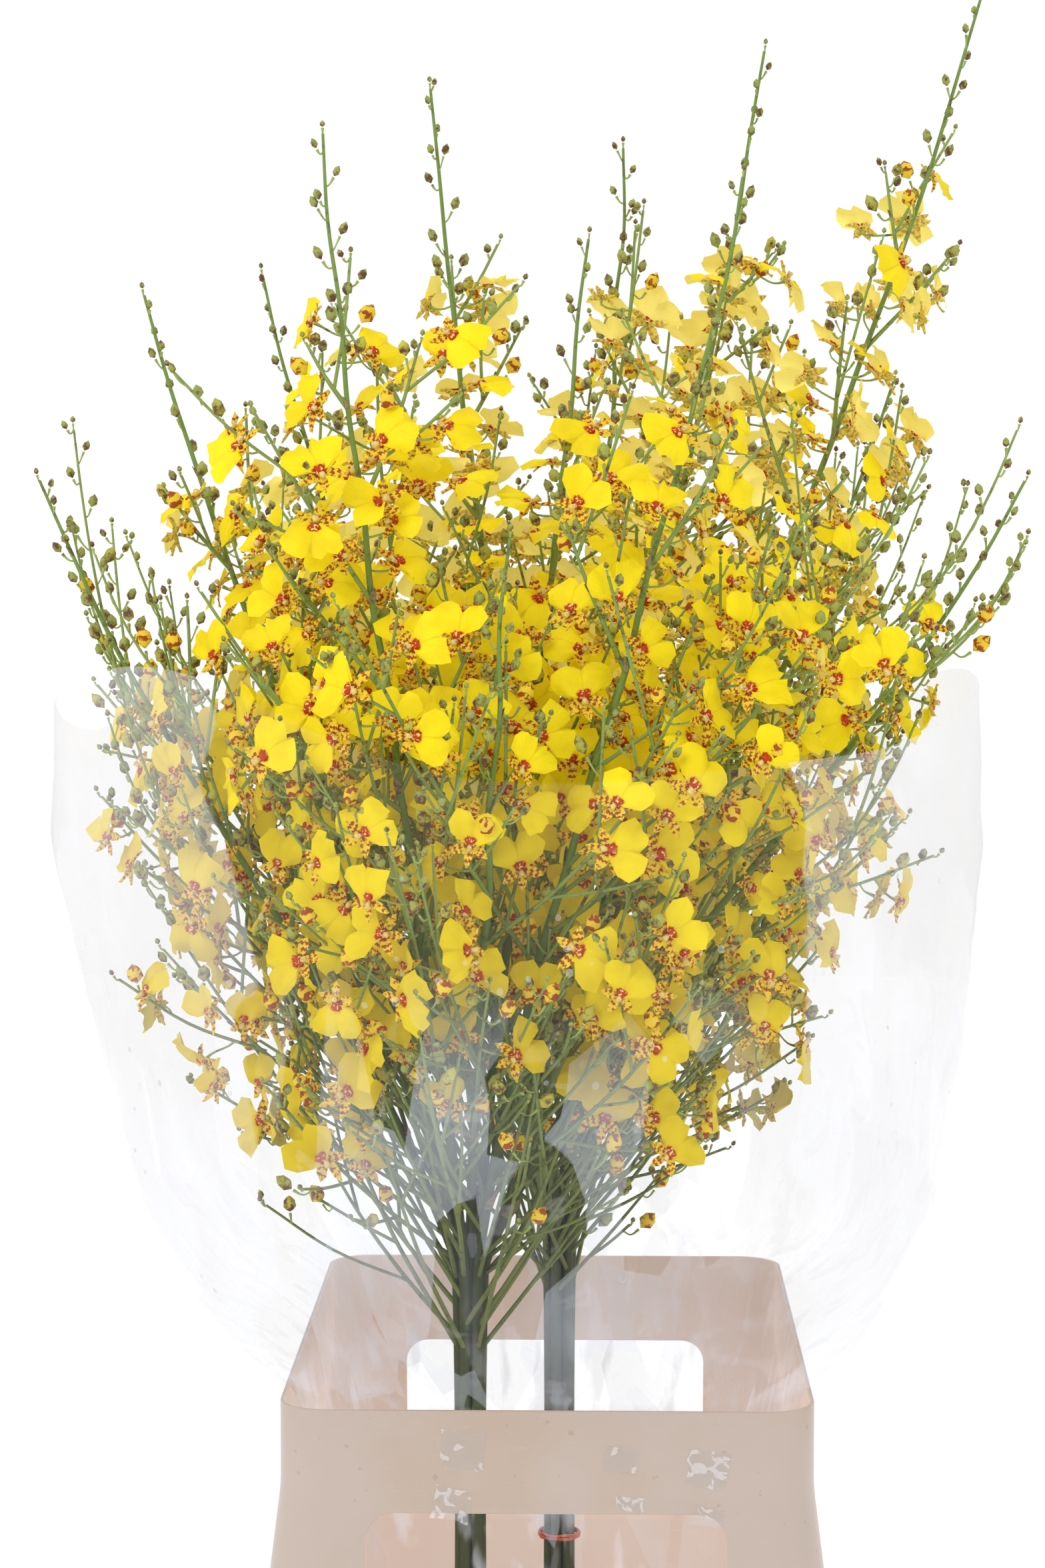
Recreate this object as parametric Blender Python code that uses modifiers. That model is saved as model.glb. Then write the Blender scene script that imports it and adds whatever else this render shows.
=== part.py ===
"""Cut oncidium sprays in a clear film sleeve, standing in a flower bucket with a raised collar.

Metres, +Z up. The origin is the middle of the bucket's underside, +X runs along a short side of
the bucket, and +Y along a long one. Each spray is one node: its stem, side branches, flowers and
buds are joined by one Boolean union.
"""

import math
import random

import bmesh
import bpy
import numpy as np
from mathutils import Matrix, Vector

# ---------------------------------------------------------------- container
GAP = 0.0003  # left between faces that touch
WALL = 0.0025
RIM_Z = 0.320  # top of the collar
COLLAR_TOP = (0.140, 0.190)  # half sizes outside, at the rim
COLLAR_SKIRT = (0.1465, 0.1965)  # half sizes outside, below the flare
FLARE_TOP = RIM_Z - 0.045
FLARE_END = RIM_Z - 0.098
CORNER = 0.026
BUCKET_FOOT = (0.118, 0.168)
BUCKET_TOP = (0.1370, 0.1870)
BUCKET_Z = 0.150  # underside of the flange that the collar stands on
FLANGE = 0.0140
FLANGE_LIP = 0.008
WINDOW_WIDTH = 0.187
WINDOW_Z = (0.176, RIM_Z - 0.054)
WINDOW_CORNER = 0.014
WATER_Z = 0.100

# ---------------------------------------------------------------- film sleeve
FILM = 0.0008
FILM_AROUND = 24
FILM_LEAN = -0.020  # how far the sleeve's mouth stands off centre along X
# Height above the rim, half sizes along X and Y, and how square the section is.
FILM_ROWS = (
    (-0.120, 0.112, 0.158, 3.5),
    (-0.004, 0.1368, 0.1868, 8.0),
    (0.0008, COLLAR_TOP[0] - WALL - GAP, COLLAR_TOP[1] - WALL - GAP, 8.0),
    (0.033, 0.186, 0.214, 4.0),
    (0.085, 0.219, 0.234, 3.0),
    (0.180, 0.240, 0.249, 2.4),
    (0.275, 0.251, 0.258, 2.2),
    (0.400, 0.249, 0.256, 2.2),
)
FILM_TOP = 0.352  # mean height of the mouth above the rim
FILM_WAVES = ((2, 0.012, 0.6), (3, 0.014, 2.3), (5, 0.008, 0.9))  # count, height, phase
FILM_FOLDS = ((5, 0.0050, 1.2), (7, 0.0035, 0.4))  # count, depth, phase

# ---------------------------------------------------------------- sprays
STEM_FOOT = 0.0030  # radius where it was cut
STEM_TIP = 0.0008
BRANCH_FOOT = 0.0014
BRANCH_TIP = 0.0007
CLUMP_PITCH = 0.0074  # from stem to stem inside a rubber band
CLUMP_SPREAD = 1.5  # how much further apart the stems bend above the band
FRONT_CLUMP = (-0.044, -0.060)
BACK_CLUMP = (0.004, 0.080)
FRONT_SPREAD_Z = RIM_Z + 0.030  # the stems stand upright up to here
BACK_SPREAD_Z = RIM_Z + 0.020
FRONT_BAND_Z = RIM_Z - 0.165
BACK_BAND_Z = RIM_Z - 0.145
BAND_THICK = 0.0022
# Spray tips: x, y and height above the rim, then how far the stem bows along Y.
FRONT_TIPS = (
    (0.020, -0.020, 0.615, -0.03),
    (-0.118, -0.130, 0.660, -0.09),
    (0.101, -0.150, 0.635, -0.09),
    (-0.220, -0.060, 0.582, -0.02),
    (0.258, -0.060, 0.481, -0.05),
    (-0.270, -0.110, 0.481, -0.04),
    (-0.020, -0.215, 0.450, -0.05),
)
BACK_TIPS = (
    (-0.070, 0.050, 0.707, 0.00),
    (0.240, 0.020, 0.752, 0.02),
    (0.123, 0.110, 0.736, 0.02),
    (0.043, 0.165, 0.686, 0.05),
    (-0.174, 0.110, 0.606, 0.02),
    (0.205, 0.150, 0.545, 0.04),
    (-0.105, 0.225, 0.505, 0.05),
)
NODE_STEP = 0.050  # from side branch to side branch
BRANCHES_FROM = 0.045  # height above the rim of a spray's lowest branch
BRANCH_LONG = 0.235
BRANCH_SHORT = 0.050
FLOWER_STEP = 0.054
BUD_STEP = 0.080
PEDICEL = 0.018
PEDICEL_RADIUS = 0.0008
SUNK = 0.0003  # how far a flower's stalk runs past the middle of what it grows on
CLEARANCE = 0.0008  # kept between one spray and the next
FLAT = 0.001  # radians between faces that the union may leave in one plane

# A flower seen from the front, right half: the point of each tepal and the two-lobed lip.
FLOWER_OUTLINE = (
    (0.0, 0.0120, -0.002),
    (0.0102, 0.0062, -0.002),
    (0.0045, -0.0012, 0.0),
    (0.0165, -0.0078, 0.001),
    (0.0105, -0.0195, -0.002),
    (0.0, -0.0158, 0.0),
)
FLOWER_THICK = 0.0032
# Balls that cover a flower when its neighbours are tested: x, y and radius.
FLOWER_BALLS = (
    (0.0, 0.0, 0.0075),
    (0.009, -0.0115, 0.0093),
    (-0.009, -0.0115, 0.0093),
    (0.0, 0.008, 0.0060),
    (0.007, 0.0045, 0.0055),
    (-0.007, 0.0045, 0.0055),
)

COLOURS = {
    "collar": (0.63, 0.51, 0.43, 1.0),
    "bucket": (0.60, 0.49, 0.42, 1.0),
    "water": (0.80, 0.90, 0.92, 0.4),
    "sleeve": (0.88, 0.91, 0.97, 0.3),
    "band": (0.60, 0.16, 0.06, 1.0),
    "spray": (0.90, 0.70, 0.02, 1.0),
}


# ================================================================ layout of the film
def film_section(height):
    """Half sizes, squareness and centre of the sleeve at a height above the rim."""
    rows = FILM_ROWS
    height = min(max(height, rows[0][0]), rows[-1][0])
    for low, high in zip(rows, rows[1:]):
        if height <= high[0]:
            t = (height - low[0]) / (high[0] - low[0])
            sizes = [a + (b - a) * t for a, b in zip(low[1:], high[1:])]
            break
    rise = min(max(height / 0.3, 0.0), 1.0)
    return sizes[0], sizes[1], sizes[2], FILM_LEAN * rise, rise


def film_radius(angle, height):
    """Distance from the section's centre to the film's outer face."""
    half_x, half_y, square, _, rise = film_section(height)
    c, s = abs(math.cos(angle)), abs(math.sin(angle))
    radius = ((c / half_x) ** square + (s / half_y) ** square) ** (-1.0 / square)
    folds = sum(depth * math.cos(n * angle + phase) for n, depth, phase in FILM_FOLDS)
    return radius + folds * rise


def film_mouth(angle):
    """Height of the sleeve's mouth above the rim."""
    return FILM_TOP + sum(h * math.sin(n * angle + phase) for n, h, phase in FILM_WAVES)


def film_allows(point, room):
    """True where a point keeps its room inside the film, or lies over the mouth."""
    height = point[2] - RIM_Z
    centre = film_section(height)[3]
    x, y = point[0] - centre, point[1]
    angle = math.atan2(y, x)
    if height > film_mouth(angle) + room:
        return True
    if height < 0.0:
        room += WALL
    return math.hypot(x, y) < film_radius(angle, height) - FILM - room


# ================================================================ layout of the sprays
class Crowd:
    """Every stem piece and flower laid out so far, as segments with a thickness."""

    def __init__(self):
        self.start = np.zeros((0, 3))
        self.end = np.zeros((0, 3))
        self.radius = np.zeros(0)
        self.group = np.zeros(0, int)

    def add(self, start, end, radius, group):
        self.start = np.vstack([self.start, start])
        self.end = np.vstack([self.end, end])
        self.radius = np.append(self.radius, radius)
        self.group = np.append(self.group, group)

    def add_line(self, points, radii, group):
        for i in range(len(points) - 1):
            self.add(points[i], points[i + 1], max(radii[i], radii[i + 1]), group)

    def is_free(self, start, end, radius, skip=()):
        """True where a segment stays clear of all groups but those to skip."""
        use = ~np.isin(self.group, skip) if skip else np.ones(len(self.group), bool)
        if not use.any():
            return True
        reach = self.radius[use] + radius + CLEARANCE
        return bool((gaps_between(start, end, self.start[use], self.end[use]) > reach).all())

    def line_is_free(self, points, radii, skip=()):
        pairs = zip(points, points[1:], radii)
        return all(self.is_free(a, b, r, skip) for a, b, r in pairs)


def gaps_between(p, q, a, b):
    """Shortest distances from the segment p-q to each of the segments a-b."""
    u, v, w = q - p, b - a, p - a
    uu = max(float(u @ u), 1e-12)
    vv = np.maximum((v * v).sum(1), 1e-12)
    uv, uw, vw = v @ u, w @ u, (v * w).sum(1)
    area = uu * vv - uv * uv
    s = np.clip(np.where(area > 1e-15, (uv * vw - uw * vv) / np.maximum(area, 1e-15), 0.0), 0, 1)
    t = np.clip((uv * s + vw) / vv, 0, 1)
    s = np.clip((uv * t - uw) / uu, 0, 1)
    gap = w + s[:, None] * u - t[:, None] * v
    return np.sqrt((gap * gap).sum(1))


def unit(vector):
    return vector / max(float(np.linalg.norm(vector)), 1e-9)


def across(direction, angle):
    """A unit vector square to a direction, turned about it by an angle."""
    side = np.cross(direction, (0.0, 0.0, 1.0))
    if np.linalg.norm(side) < 0.05:
        side = np.array((1.0, 0.0, 0.0))
    side = unit(side)
    return side * math.cos(angle) + np.cross(direction, side) * math.sin(angle)


def clump_places(centre, tips):
    """Where each stem of a bunch stands: packed close, in the order in which the sprays lean."""
    places = np.array([tip[:2] for tip in tips])
    places = places - places.mean(0)
    places = places * CLUMP_PITCH / np.abs(places).max()
    for turn in range(300):
        if turn < 240:
            places = places * 0.97
        for i in range(len(places)):
            for j in range(i):
                apart = places[i] - places[j]
                gap = max(float(np.linalg.norm(apart)), 1e-6)
                push = max(0.0, CLUMP_PITCH - gap) * 0.5 * apart / gap
                places[i] += push
                places[j] -= push
    return places - places.mean(0) + np.array(centre)


def stem_line(place, centre, tip, spread_z, rng):
    """A main stem: upright past its band, then a curve to its tip with a small zigzag at the nodes."""
    spread = np.append(place - np.array(centre), 0.0) * CLUMP_SPREAD
    foot = np.array((place[0], place[1], WALL + GAP))
    bend = np.array((place[0], place[1], spread_z + 0.012))
    end = np.array((tip[0], tip[1], RIM_Z + tip[2]))
    lean = end - bend
    bow = np.array((0.0, tip[3], 0.0))
    low = bend + lean * (0.07, 0.07, 0.28) + bow * 0.4 + spread
    high = end - lean * (0.24, 0.24, 0.32) + bow
    count = max(8, round(float(np.linalg.norm(lean)) / NODE_STEP))
    points = [foot, bend]
    for i in range(1, count + 1):
        t = i / count
        spot = (1 - t) ** 3 * bend + 3 * t * (1 - t) ** 2 * low
        spot = spot + 3 * t * t * (1 - t) * high + t**3 * end
        if i > 2:
            zig = rng.uniform(0.0010, 0.0022) * (-1) ** i
            spot = spot + across(unit(lean), rng.uniform(-0.5, 0.5)) * zig
        points.append(spot)
    radii = [STEM_FOOT, STEM_FOOT]
    radii += [STEM_FOOT + (STEM_TIP - STEM_FOOT) * (i / count) ** 1.2 for i in range(1, count + 1)]
    return points, radii


def branch_line(foot, forward, turn, length, rng):
    """A side branch: away from the stem at a slant, then bending up."""
    steps = max(2, min(3, round(length / 0.055)))
    way = unit(unit(forward) + across(unit(forward), turn) * rng.uniform(0.75, 1.0))
    points = [foot]
    for i in range(steps):
        way = unit(way + np.array((0.0, 0.0, 0.16)) + np.array([rng.uniform(-0.09, 0.09) for _ in "xyz"]))
        points.append(points[-1] + way * length / steps)
    radii = [BRANCH_FOOT + (BRANCH_TIP - BRANCH_FOOT) * i / steps for i in range(steps + 1)]
    return points, radii


def fits_film(points, room):
    """True where a line keeps its room from the film all the way."""
    for a, b in zip(points, points[1:]):
        parts = max(2, math.ceil(float(np.linalg.norm(b - a)) / 0.006))
        if not all(film_allows(a + (b - a) * i / parts, room) for i in range(1, parts + 1)):
            return False
    return True


def grow_branches(spray, crowd, rng):
    """Adds a spray's side branches, outward first, each where it is free."""
    stem = spray["stem"]
    nodes = [i for i, p in enumerate(stem) if p[2] > RIM_Z + BRANCHES_FROM and i < len(stem) - 3]
    for count, i in enumerate(nodes):
        share = count / max(1, len(nodes) - 1)
        length = BRANCH_SHORT + (BRANCH_LONG - BRANCH_SHORT) * (1 - share) ** 0.8
        forward = unit(stem[i + 1] - stem[i - 1])
        out = math.atan2(*(stem[i][:2] - np.array((FILM_LEAN, 0.0)))[::-1])
        for attempt in range(26):
            swing = (count % 3 - 1) * 1.9 + rng.uniform(-0.6, 0.6) * (1 + 0.12 * attempt)
            aim = np.array((math.cos(out + swing), math.sin(out + swing), 0.0))
            turn = math.atan2(aim @ across(forward, math.pi / 2), aim @ across(forward, 0.0))
            reach = length * rng.uniform(0.85, 1.15) * 0.975**attempt
            points, radii = branch_line(stem[i], forward, turn, reach, rng)
            own = spray["group"]
            if fits_film(points, 0.010) and crowd.line_is_free(points, radii, [own]):
                group = own + 1 + len(spray["branches"])
                crowd.add_line(points, radii, group)
                spray["branches"].append({"points": points, "radii": radii, "group": group})
                break


def along(points, distance):
    """The point and direction at a distance along a line."""
    for a, b in zip(points, points[1:]):
        step = float(np.linalg.norm(b - a))
        if distance <= step:
            return a + (b - a) * distance / step, (b - a) / step
        distance -= step
    return points[-1], unit(points[-1] - points[-2])


def length_of(points):
    return sum(float(np.linalg.norm(b - a)) for a, b in zip(points, points[1:]))


def flower_pose(foot, forward, turn, rng):
    """Where a flower sits and how it is turned: centre, then its right, up and facing.

    The sprays hang over as they grow and are stood upright when cut, so the lips, which point
    against up, lie along the branch or out to a side.
    """
    stalk = unit(across(forward, turn) + forward * 0.35 + np.array((0.0, 0.0, 0.10)))
    centre = foot + stalk * PEDICEL * rng.uniform(0.85, 1.15)
    out = unit((centre - np.array((FILM_LEAN, 0.0, RIM_Z + 0.22))) * (1.0, 1.0, 0.4))
    jitter = np.array([rng.uniform(-0.45, 0.45) for _ in "xyz"])
    face = unit(stalk * 0.45 + out * 0.9 + jitter)
    sway = np.array([rng.uniform(-0.7, 0.7) for _ in "xyz"])
    lip = forward * 0.55 + stalk * 0.45 + sway
    right = unit(np.cross(face, lip))
    return centre, right, np.cross(face, right), face


def flower_is_free(pose, foot, crowd, skip):
    """True where a flower and its stalk clear the film and everything but what it grows on."""
    centre, right, up, face = pose
    for x, y, radius in FLOWER_BALLS:
        spot = centre + right * x + up * y
        if not film_allows(spot, radius + 0.001) or not crowd.is_free(spot, spot, radius, skip):
            return False
    return crowd.is_free(foot, centre, 0.001, skip)


def add_flowers(spray, line, start, stop, crowd, rng):
    """Flowers along a line of a spray, turned from side to side."""
    distance = start
    count = 0
    while distance < stop:
        foot, forward = along(line["points"], distance)
        for attempt in range(12):
            turn = math.pi * (count % 2) + rng.uniform(-0.5, 0.5) * (1 + 0.3 * attempt)
            pose = flower_pose(foot, forward, turn, rng)
            if flower_is_free(pose, foot, crowd, [line["group"]]):
                for x, y, radius in FLOWER_BALLS:
                    spot = pose[0] + pose[1] * x + pose[2] * y
                    crowd.add(spot, spot, radius, line["group"])
                spray["flowers"].append((foot, pose))
                break
        count += 1
        distance += FLOWER_STEP * rng.uniform(0.9, 1.1)


def add_buds(spray, line, start, stop, crowd, rng):
    """Buds along the end of a line, smaller towards its tip."""
    distance = start
    count = 0
    while distance < stop - 0.004:
        foot, forward = along(line["points"], distance)
        size = 1.0 - 0.45 * (distance - start) / max(stop - start, 0.001)
        for attempt in range(8):
            side = across(forward, math.pi * (count % 2) + rng.uniform(-0.6, 0.6) * (1 + attempt))
            tip = foot + unit(forward + side * 0.9) * 0.019 * size
            if film_allows(tip, 0.003) and crowd.is_free(foot, tip, 0.0027 * size, [line["group"]]):
                crowd.add(foot, tip, 0.0027 * size, line["group"])
                spray["buds"].append((foot, tip, 0.0027 * size))
                break
        count += 1
        distance += BUD_STEP * rng.uniform(0.85, 1.15)


def lay_out_sprays():
    """All sprays: stems first, then branches, then flowers and buds, so that none cross."""
    crowd = Crowd()
    sprays = []
    bunches = ((FRONT_CLUMP, FRONT_TIPS, FRONT_SPREAD_Z), (BACK_CLUMP, BACK_TIPS, BACK_SPREAD_Z))
    for centre, tips, spread_z in bunches:
        for place, tip in zip(clump_places(centre, tips), tips):
            group = 100 * len(sprays)
            rng = random.Random(group + 7)
            stem, radii = stem_line(place, centre, tip, spread_z, rng)
            crowd.add_line(stem, radii, group)
            sprays.append(
                {"stem": stem, "radii": radii, "group": group, "branches": [], "flowers": [], "buds": []}
            )
    for spray in sprays:
        grow_branches(spray, crowd, random.Random(spray["group"] + 11))
    for spray in sprays:
        rng = random.Random(spray["group"] + 13)
        stem = {"points": spray["stem"], "group": spray["group"]}
        top = length_of(spray["stem"])
        add_flowers(spray, stem, top - 0.255, top - 0.135, crowd, rng)
        add_buds(spray, stem, top - 0.125, top, crowd, rng)
        for line in spray["branches"]:
            reach = length_of(line["points"])
            add_flowers(spray, line, max(0.022, 0.34 * reach), 0.80 * reach, crowd, rng)
            add_buds(spray, line, 0.83 * reach, reach, crowd, rng)
    return sprays


# ================================================================ solids
def clear_scene():
    for item in list(bpy.data.objects):
        bpy.data.objects.remove(item, do_unlink=True)


def collection(name):
    group = bpy.data.collections.new(name)
    bpy.context.scene.collection.children.link(group)
    return group


def material(name, colour, roughness):
    finish = bpy.data.materials.new(name)
    finish.use_nodes = True
    finish.diffuse_color = colour
    shader = finish.node_tree.nodes["Principled BSDF"]
    shader.inputs["Base Color"].default_value = colour
    shader.inputs["Alpha"].default_value = colour[3]
    shader.inputs["Roughness"].default_value = roughness
    return finish


def add_object(name, mesh, group, finish=None):
    item = bpy.data.objects.new(name, mesh)
    group.objects.link(item)
    if finish:
        item.data.materials.append(finish)
    return item


def mesh_from(bm, name):
    mesh = bpy.data.meshes.new(name)
    bm.to_mesh(mesh)
    bm.free()
    return mesh


def rounded_ring(half_x, half_y, corner, steps=3):
    """Points of a rectangle with round corners, anticlockwise."""
    ring = []
    for quarter in range(4):
        sx = (1, -1, -1, 1)[quarter]
        sy = (1, 1, -1, -1)[quarter]
        for i in range(steps + 1):
            angle = math.pi / 2 * (quarter + i / steps)
            x = sx * (half_x - corner) + corner * math.cos(angle)
            y = sy * (half_y - corner) + corner * math.sin(angle)
            ring.append((x, y))
    return ring


def loft(name, rings, floor=False, lid=False):
    """A skin through rings of points, each ring (points, z)."""
    bm = bmesh.new()
    rows = []
    for points in rings:
        rows.append([bm.verts.new(p) for p in points])
    count = len(rows[0])
    for low, high in zip(rows, rows[1:]):
        for i in range(count):
            j = (i + 1) % count
            bm.faces.new((low[i], low[j], high[j], high[i]))
    if floor:
        bm.faces.new(reversed(rows[0]))
    if lid:
        bm.faces.new(rows[-1])
    return mesh_from(bm, name)


def ring_at(size, z, corner=CORNER):
    return [(x, y, z) for x, y in rounded_ring(size[0], size[1], corner)]


def add_wall(item, thickness):
    wall = item.modifiers.new("wall", "SOLIDIFY")
    wall.thickness = thickness
    wall.offset = -1.0
    wall.use_even_offset = True


def cut(item, cutters, solver="EXACT"):
    """Cuts a collection of shapes out of an object."""
    knife = item.modifiers.new("cut", "BOOLEAN")
    knife.operation = "DIFFERENCE"
    knife.solver = solver
    knife.operand_type = "COLLECTION"
    knife.collection = cutters


def hide_cutter(item):
    item.hide_render = True
    item.display_type = "WIRE"


def make_bucket(group):
    """The tub: tapered walls and a flange with a lip, in which the collar stands."""
    out = (BUCKET_TOP[0] + FLANGE, BUCKET_TOP[1] + FLANGE)
    rings = [
        ring_at(BUCKET_FOOT, 0.0),
        ring_at(BUCKET_TOP, BUCKET_Z),
        ring_at(out, BUCKET_Z, CORNER + WALL),
        ring_at(out, BUCKET_Z + FLANGE_LIP, CORNER + WALL),
    ]
    mesh = loft("bucket", rings, floor=True)
    bucket = add_object("bucket", mesh, group, material("bucket", COLOURS["bucket"], 0.45))
    add_wall(bucket, WALL)


def make_collar(group, cutters):
    """The raised collar: a straight rim, a flare below it and a window in front and behind."""
    rings = [
        ring_at(COLLAR_SKIRT, BUCKET_Z + WALL + GAP),
        ring_at(COLLAR_SKIRT, FLARE_END),
        ring_at(COLLAR_TOP, FLARE_TOP),
        ring_at(COLLAR_TOP, RIM_Z),
    ]
    collar = add_object("collar", loft("collar", rings), group, material("collar", COLOURS["collar"], 0.4))
    add_wall(collar, WALL)
    half_height = (WINDOW_Z[1] - WINDOW_Z[0]) / 2
    outline = rounded_ring(WINDOW_WIDTH / 2, half_height, WINDOW_CORNER, 2)
    middle = (WINDOW_Z[0] + WINDOW_Z[1]) / 2
    reach = COLLAR_SKIRT[1] + 0.02
    rings = [[(x, y, z + middle) for x, z in outline] for y in (reach, -reach)]
    window = add_object("window_cutter", loft("window", rings, floor=True, lid=True), cutters)
    hide_cutter(window)
    cut(collar, cutters)


def make_water(group, sprays, cutters):
    """The water in the bucket, with a plain hole round each stem."""
    share = WATER_Z / BUCKET_Z
    top = [f + (t - f) * share - WALL - 2 * GAP for f, t in zip(BUCKET_FOOT, BUCKET_TOP)]
    foot = [f - WALL - GAP for f in BUCKET_FOOT]
    corner = CORNER - WALL
    rings = [ring_at(foot, WALL + GAP, corner), ring_at(top, WATER_Z, corner)]
    mesh = loft("water", rings, floor=True, lid=True)
    water = add_object("water", mesh, group, material("water", COLOURS["water"], 0.05))
    for spray in sprays:
        x, y, _ = spray["stem"][0]
        bm = bmesh.new()
        radius = STEM_FOOT + 2 * GAP
        place = Matrix.Translation((x, y, WATER_Z / 2))
        bmesh.ops.create_cone(
            bm, cap_ends=True, segments=6, radius1=radius, radius2=radius, depth=WATER_Z * 1.2, matrix=place
        )
        hide_cutter(add_object("stem_hole", mesh_from(bm, "stem_hole"), cutters))
    cut(water, cutters)


def make_band(name, centre, tips, z, group, finish):
    """A rubber band, wound close round a bunch."""
    out = clump_places(centre, tips) - np.array(centre)
    inner = float(np.linalg.norm(out, axis=1).max()) + STEM_FOOT + GAP
    bpy.ops.mesh.primitive_torus_add(
        location=(centre[0], centre[1], z),
        major_segments=18,
        minor_segments=4,
        major_radius=(inner + BAND_THICK / 2) / math.cos(math.pi / 18),
        minor_radius=BAND_THICK / 2,
    )
    band = bpy.context.object
    band.name = name
    for owner in list(band.users_collection):
        owner.objects.unlink(band)
    group.objects.link(band)
    band.data.materials.append(finish)


def make_sleeve(group):
    """The film sleeve: square where it stands in the collar, round and folded above, waved mouth."""
    heights = [row[0] for row in FILM_ROWS[:-1]]
    angles = [2 * math.pi * i / FILM_AROUND for i in range(FILM_AROUND)]
    rings = []
    for height in heights + [None]:
        ring = []
        for angle in angles:
            h = film_mouth(angle) if height is None else height
            centre = film_section(h)[3]
            radius = film_radius(angle, h)
            ring.append((centre + radius * math.cos(angle), radius * math.sin(angle), RIM_Z + h))
        rings.append(ring)
    sleeve = add_object("sleeve", loft("sleeve", rings), group, material("sleeve", COLOURS["sleeve"], 0.1))
    add_wall(sleeve, FILM)


def tube_profile(sides):
    """A polygon of radius 1 that is swept along a stem."""
    curve = bpy.data.curves.new(f"profile_{sides}", "CURVE")
    curve.dimensions = "2D"
    spline = curve.splines.new("POLY")
    spline.points.add(sides - 1)
    for i, point in enumerate(spline.points):
        angle = 2 * math.pi * i / sides
        point.co = (math.cos(angle), math.sin(angle), 0.0, 1.0)
    spline.use_cyclic_u = True
    return bpy.data.objects.new(f"profile_{sides}", curve)


def make_tube(name, points, radii, profile, group):
    """A tapering stem through points, as a mesh with welded caps."""
    curve = bpy.data.curves.new(name, "CURVE")
    curve.dimensions = "3D"
    curve.twist_mode = "MINIMUM"
    curve.bevel_mode = "OBJECT"
    curve.bevel_object = profile
    curve.use_fill_caps = True
    spline = curve.splines.new("POLY")
    spline.points.add(len(points) - 1)
    for knot, point, radius in zip(spline.points, points, radii):
        knot.co = (*point, 1.0)
        knot.radius = radius
    guide = bpy.data.objects.new(name, curve)
    bpy.context.scene.collection.objects.link(guide)
    bpy.context.view_layer.update()
    mesh = bpy.data.meshes.new_from_object(guide.evaluated_get(bpy.context.evaluated_depsgraph_get()))
    bpy.data.objects.remove(guide)
    bm = bmesh.new()
    bm.from_mesh(mesh)
    bmesh.ops.remove_doubles(bm, verts=bm.verts, dist=0.000001)
    bmesh.ops.triangulate(bm, faces=bm.faces)
    bmesh.ops.recalc_face_normals(bm, faces=bm.faces)
    return add_object(name, mesh_from(bm, name), group)


def make_flower(foot, pose, group):
    """One flower on its stalk: thick at its heart, thin at its tepals and the edge of its lip."""
    centre, right, up, face = (Vector(v) for v in pose)
    left_half = [(-x, y, z) for x, y, z in reversed(FLOWER_OUTLINE[1:-1])]
    bm = bmesh.new()
    front = bm.verts.new(centre + face * FLOWER_THICK / 2)
    edge = []
    for x, y, z in list(FLOWER_OUTLINE) + left_half:
        edge.append(bm.verts.new(centre + right * x + up * y + face * z))
    for a, b in zip(edge, edge[1:] + edge[:1]):
        bm.faces.new((front, b, a))
    neck = []
    for i in range(3):
        angle = math.pi / 2 - i * 2 * math.pi / 3
        side = right * math.cos(angle) + up * math.sin(angle)
        neck.append(bm.verts.new(centre + side * PEDICEL_RADIUS - face * FLOWER_THICK / 2))
    for start, stop, corner in zip((0, 3, 7), (3, 7, 10), neck):
        for i in range(start, stop):
            bm.faces.new((edge[i], edge[(i + 1) % 10], corner))
    for i, knot in enumerate((0, 3, 7)):
        bm.faces.new((edge[knot], neck[i], neck[i - 1]))
    end = bm.verts.new(Vector(foot) + (Vector(foot) - centre).normalized() * SUNK)
    for a, b in zip(neck, neck[1:] + neck[:1]):
        bm.faces.new((a, b, end))
    bmesh.ops.recalc_face_normals(bm, faces=bm.faces)
    add_object("flower", mesh_from(bm, "flower"), group)


def make_bud(foot, tip, radius, group):
    """A pointed bud that tapers down into its stalk."""
    foot, tip = Vector(foot), Vector(tip)
    way = tip - foot
    turn = way.to_track_quat("Z", "Y").to_matrix().to_4x4()
    bm = bmesh.new()
    ends = [bm.verts.new((0.0, 0.0, 0.0)), bm.verts.new((0.0, 0.0, way.length))]
    waist = [
        bm.verts.new((radius * math.cos(a), radius * math.sin(a), way.length * 0.68))
        for a in (0.0, math.pi / 2, math.pi, 1.5 * math.pi)
    ]
    for a, b in zip(waist, waist[1:] + waist[:1]):
        bm.faces.new((ends[0], b, a))
        bm.faces.new((ends[1], a, b))
    bmesh.ops.transform(bm, matrix=Matrix.Translation(foot) @ turn, verts=bm.verts)
    add_object("bud", mesh_from(bm, "bud"), group)


def drop_scraps(bm):
    """Keeps the largest joined body of a union, and drops what only touches it."""
    left = set(bm.verts)
    bodies = []
    while left:
        body = {left.pop()}
        rim = list(body)
        while rim:
            vert = rim.pop()
            near = {link.other_vert(vert) for link in vert.link_edges} & left
            left -= near
            body |= near
            rim.extend(near)
        bodies.append(body)
    keep = max(bodies, key=len)
    bmesh.ops.delete(bm, geom=[v for v in bm.verts if v not in keep], context="VERTS")


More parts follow.
